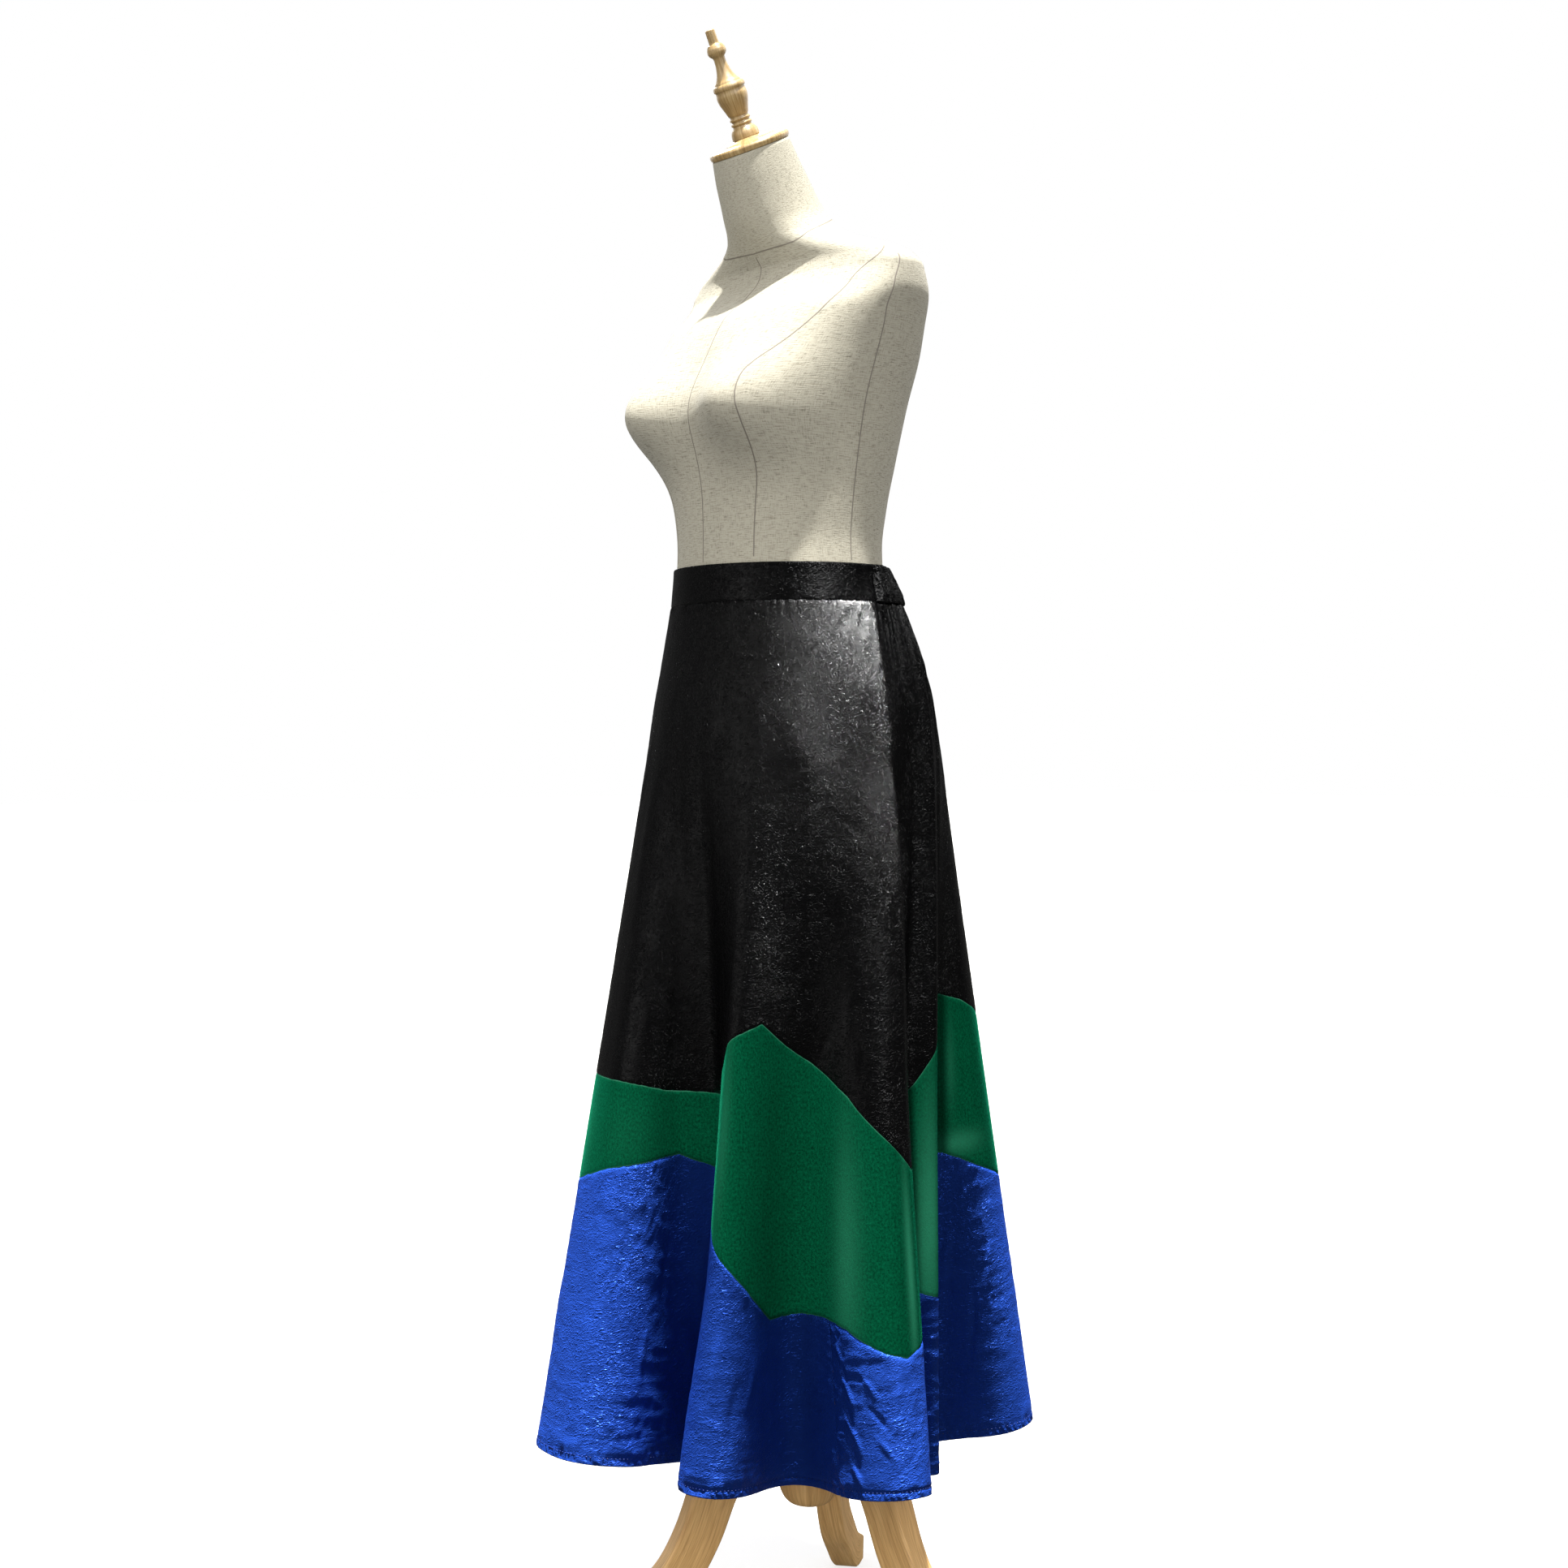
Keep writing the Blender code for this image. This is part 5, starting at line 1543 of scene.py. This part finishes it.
def area_light(name, power, turn, elevation, width, tall, colour=(1, 1, 1)):
    place, sizes = around_camera(turn, elevation), {"size": width, "size_y": tall}
    return lamp("AREA", name, power, place, MIDDLE, shape="RECTANGLE", color=colour, **sizes)


def spot_light(name, power, turn, elevation, target, angle, radius):
    cone = {"spot_size": math.radians(angle), "spot_blend": 1.0, "shadow_soft_size": radius}
    return lamp("SPOT", name, power, around_camera(turn, elevation), target, **cone)


def light_only(source, pieces):
    """Keep a lamp's light to these pieces."""
    lit = bpy.data.collections.new(source.name + "_lit")
    for piece in pieces:
        lit.objects.link(piece)
    source.light_linking.receiver_collection = lit


def sun(name, power, turn, elevation, spread, pieces):
    """A sun on these pieces alone: the photo's cloth is exposed darker than its form."""
    place, spread = around_camera(turn, elevation), math.radians(spread)
    high = lamp("SUN", name, power, place, MIDDLE, angle=spread, color=(1.0, 0.975, 0.93))
    light_only(high, pieces)
    return high


# Spots seen only in the upper front's sheen: degrees right of the camera and up, the point lit,
# the cone in degrees, the lamp's radius in metres, watts
SPOTS = (
    ("gloss_hip", 81.0, 52.0, (0.115, -0.060, 1.045), 8.0, 0.12, 5400.0),
    ("gloss_patch", 6.0, 36.0, (0.100, -0.068, 1.040), 6.4, 0.1, 450.0),
)
# Softboxes seen only in the cloth's sheen: degrees right of the camera and up, watts, metres
GLOSS = (
    ("gloss_top", 50.0, 54.0, 16.0, 0.8),
    ("gloss_middle", 20.0, 52.0, 85.0, 0.5),
    ("gloss_rim", 118.0, 44.0, 8.0, 0.6),
    ("gloss_left", -60.0, 4.0, 5.0, 0.9),
    ("gloss_behind", 196.0, 44.0, 45.0, 0.8),
)
# What the lamps stand round, and from how far
MIDDLE = (0.0, 0.0, 0.9)
LAMP_DISTANCE = 3.0
# Half the floor's side
FLOOR = 40
CAMERA_AZIMUTH = 52.0
CAMERA_DISTANCE = 2.52
CAMERA_HEIGHT = 0.93
CAMERA_PITCH = 0.75
FOCAL_PIXELS = 2977.0
FRAME_PIXELS = 1932.0


def camera():
    data = bpy.data.cameras.new("camera")
    data.sensor_width = 36.0
    data.lens = FOCAL_PIXELS / FRAME_PIXELS * data.sensor_width
    data.shift_x = 1.0 / FRAME_PIXELS
    data.dof.use_dof = False
    obj = placed("camera", data)
    obj.location = from_camera(0.0, CAMERA_DISTANCE, CAMERA_HEIGHT) + AXIS
    obj.rotation_euler = (math.radians(90 - CAMERA_PITCH), 0.0, math.radians(CAMERA_AZIMUTH))
    bpy.context.scene.camera = obj


def from_camera(right, back, up):
    """A place given from the waist axis as the camera sees it: right, towards it, and up."""
    return np.array([*spun(right, -back, CAMERA_AZIMUTH), up])


def around_camera(turn, elevation):
    """A lamp's place, by degrees to the right of the camera and above the form's middle."""
    a, e = math.radians(turn), math.radians(elevation)
    level = LAMP_DISTANCE * math.cos(e)
    up = MIDDLE[2] + LAMP_DISTANCE * math.sin(e)
    return from_camera(level * math.sin(a), level * math.cos(a), up)


def by_ray(tree, kind, others, this, end):
    """One shader for this kind of ray, and another for all others."""
    ray = node_in(tree, "ShaderNodeLightPath").outputs[kind]
    both = node_in(tree, "ShaderNodeMixShader", (("Fac", ray), (1, others), (2, this)))
    put(end.inputs["Surface"], both.outputs["Shader"])
    return both.outputs["Shader"]


def floor():
    """White to the camera, grey to the pieces it lights, and dark in the satin's sheen."""
    mesh = bpy.data.meshes.new("floor")
    corners = [(-FLOOR, -FLOOR, 0), (FLOOR, -FLOOR, 0), (FLOOR, FLOOR, 0), (-FLOOR, FLOOR, 0)]
    mesh.from_pydata(corners, [], [(0, 1, 2, 3)])
    obj = placed("floor", mesh)
    paper = bpy.data.materials.new("floor_paper")
    paper.use_nodes = True
    tree = paper.node_tree
    look, end = tree.nodes["Principled BSDF"], tree.nodes["Material Output"]
    seen = node_in(tree, "ShaderNodeLightPath").outputs["Is Camera Ray"]
    glow = ((0, seen), (1, 0.37), (2, 0.38))
    glow = node_in(tree, "ShaderNodeMath", glow, operation="MULTIPLY_ADD").outputs["Value"]
    put(look.inputs["Base Color"], (0.28, 0.28, 0.28))
    put(look.inputs["Roughness"], 1.0)
    put(look.inputs["Specular IOR Level"], 0.0)
    put(look.inputs["Emission Color"], (1.0, 1.0, 1.0))
    put(look.inputs["Emission Strength"], glow)
    dark = node_in(tree, "ShaderNodeBsdfDiffuse", [("Color", (0.02, 0.02, 0.02))]).outputs["BSDF"]
    grey = node_in(tree, "ShaderNodeEmission", [("Strength", 0.30)]).outputs["Emission"]
    lit = by_ray(tree, "Is Glossy Ray", look.outputs["BSDF"], dark, end)
    by_ray(tree, "Is Diffuse Ray", lit, grey, end)
    mesh.materials.append(paper)


def studio():
    """The floor, the world, and the lamps that light all pieces or the satin's sheen."""
    floor()
    world = bpy.data.worlds.new("studio")
    bpy.context.scene.world = world
    world.use_nodes = True
    tree = world.node_tree
    around, end = tree.nodes["Background"], tree.nodes["World Output"]
    put(around.inputs["Color"], (0.97, 0.98, 1.0))
    put(around.inputs["Strength"], 0.22)
    dim = node_in(tree, "ShaderNodeBackground", [("Strength", 0.12)]).outputs["Background"]
    wall = node_in(tree, "ShaderNodeBackground", [("Color", (1.0, 1.0, 1.0))]).outputs["Background"]
    lit = by_ray(tree, "Is Glossy Ray", around.outputs["Background"], dim, end)
    by_ray(tree, "Is Camera Ray", lit, wall, end)
    bpy.context.scene.view_settings.view_transform = "Standard"
    area_light("left", 8, -60, 20, 0.6, 1.2, (1.0, 0.98, 0.95))
    for name, turn, elevation, power, size in GLOSS:
        area_light(name, power, turn, elevation, size, size).visible_diffuse = False


def main():
    camera()
    studio()
    made = materials()
    cloths = panels(made)
    satin = made["black_satin"]
    side = SIDE_BEARING
    front = waistband("band_front", "waistband_front", -side, side, False, satin)
    back = waistband("band_back", "waistband_back", side, 360.0 - side, True, satin)
    stitches = hem_stitches(made["blue_thread"])
    torso(made["linen"])
    form_seams(made["seam_thread_and_painted_shade"])
    foot = np.array([0.0, TORSO[-1][1], TORSO[-1][0]])
    lean = math.radians(NECK_TILT)
    rise = np.array([0.0, -math.sin(lean), math.cos(lean)])
    golden, pale = made["turned_wood"], made["stand_wood"]
    cap_foot = foot + rise * SEAM_GAP
    finial_foot = foot + rise * (NECK_CAP[0][0] + 2 * SEAM_GAP)
    turned("wood_cap", "neck_cap", NECK_CAP, 96, NECK_TILT, cap_foot, golden)
    turned("wood_finial", "finial", FINIAL, 64, NECK_TILT, finial_foot, golden)
    hub_foot = (0.0, POLE_Y, HUB_FOOT)
    turned("wood_hub", "hub", HUB, 96, 0.0, hub_foot, pale, 0.0015)
    pole_foot = HUB_FOOT + HUB[0][0] + SEAM_GAP
    pole = ((TORSO_BOTTOM - SEAM_GAP - pole_foot, POLE_RADIUS), (0.0, POLE_RADIUS))
    pole_place = (0.0, POLE_Y, pole_foot)
    turned("wood_pole", "pole", pole, 48, 0.0, pole_place, pale, 0.01)
    for node, bearing in LEGS:
        leg(f"wood_{node}", node, bearing, pale)
    black = [cloths["upper_front"], cloths["upper_back"], front, back]
    green = [cloths["middle_front"], cloths["middle_back"]]
    blue = [cloths["lower_front"], cloths["lower_back"], stitches]
    dressed = black + green + blue
    pieces = bpy.context.scene.objects
    form = [obj for obj in pieces if obj.type == "MESH" and obj not in dressed]
    sun("satin_sun", 5.5, -20, 86, 5.0, black).visible_glossy = False
    sun("velvet_sun", 7.2, -15, 74, 3.0, green)
    sun("velvet_sun_behind", 5.5, 180, 66, 20.0, green)
    sun("taffeta_sun", 41.0, 165, 87, 3.0, blue)
    sun("form_sun", 12.0, 12, 78, 2.5, form)
    sun("form_fill", 4.4, -10, 5, 130.0, form)
    sun("form_fill_behind", 4.4, 170, 5, 130.0, form)
    for name, turn, elevation, target, angle, radius, power in SPOTS:
        spot = spot_light(name, power, turn, elevation, target, angle, radius)
        spot.visible_diffuse = False
        light_only(spot, black[:1])
    flat_sheets({**cloths, "band_front": front, "band_back": back})


# Each piece's cut, of what shows: width and length of the cloth it is cut from, its flat area, in
# metres, how it is held, and what holds it
CUTS = {
    "band_front": (0.398, 0.052, 0.0207, "draped", ("torso",)),
    "band_back": (0.420, 0.052, 0.0218, "gathered", ("torso",)),
    "upper_front": (0.752, 0.532, 0.2558, "hung", ("band_front", "torso")),
    "upper_back": (0.878, 0.562, 0.2984, "gathered", ("band_back", "torso")),
    "middle_front": (0.896, 0.308, 0.1321, "hung", ("cloth_upper_front",)),
    "middle_back": (1.046, 0.333, 0.1670, "hung", ("cloth_upper_back",)),
    "lower_front": (0.829, 0.320, 0.1944, "hung", ("cloth_middle_front",)),
    "lower_back": (1.438, 0.440, 0.3239, "hung", ("cloth_middle_back",)),
}


def flat_sheets(sheets):
    """Read each cloth piece's cut from the table; nothing is done with it."""
    for name, (width, length, area, held, holders) in CUTS.items():
        piece, holders = sheets[name], list(holders)


main()
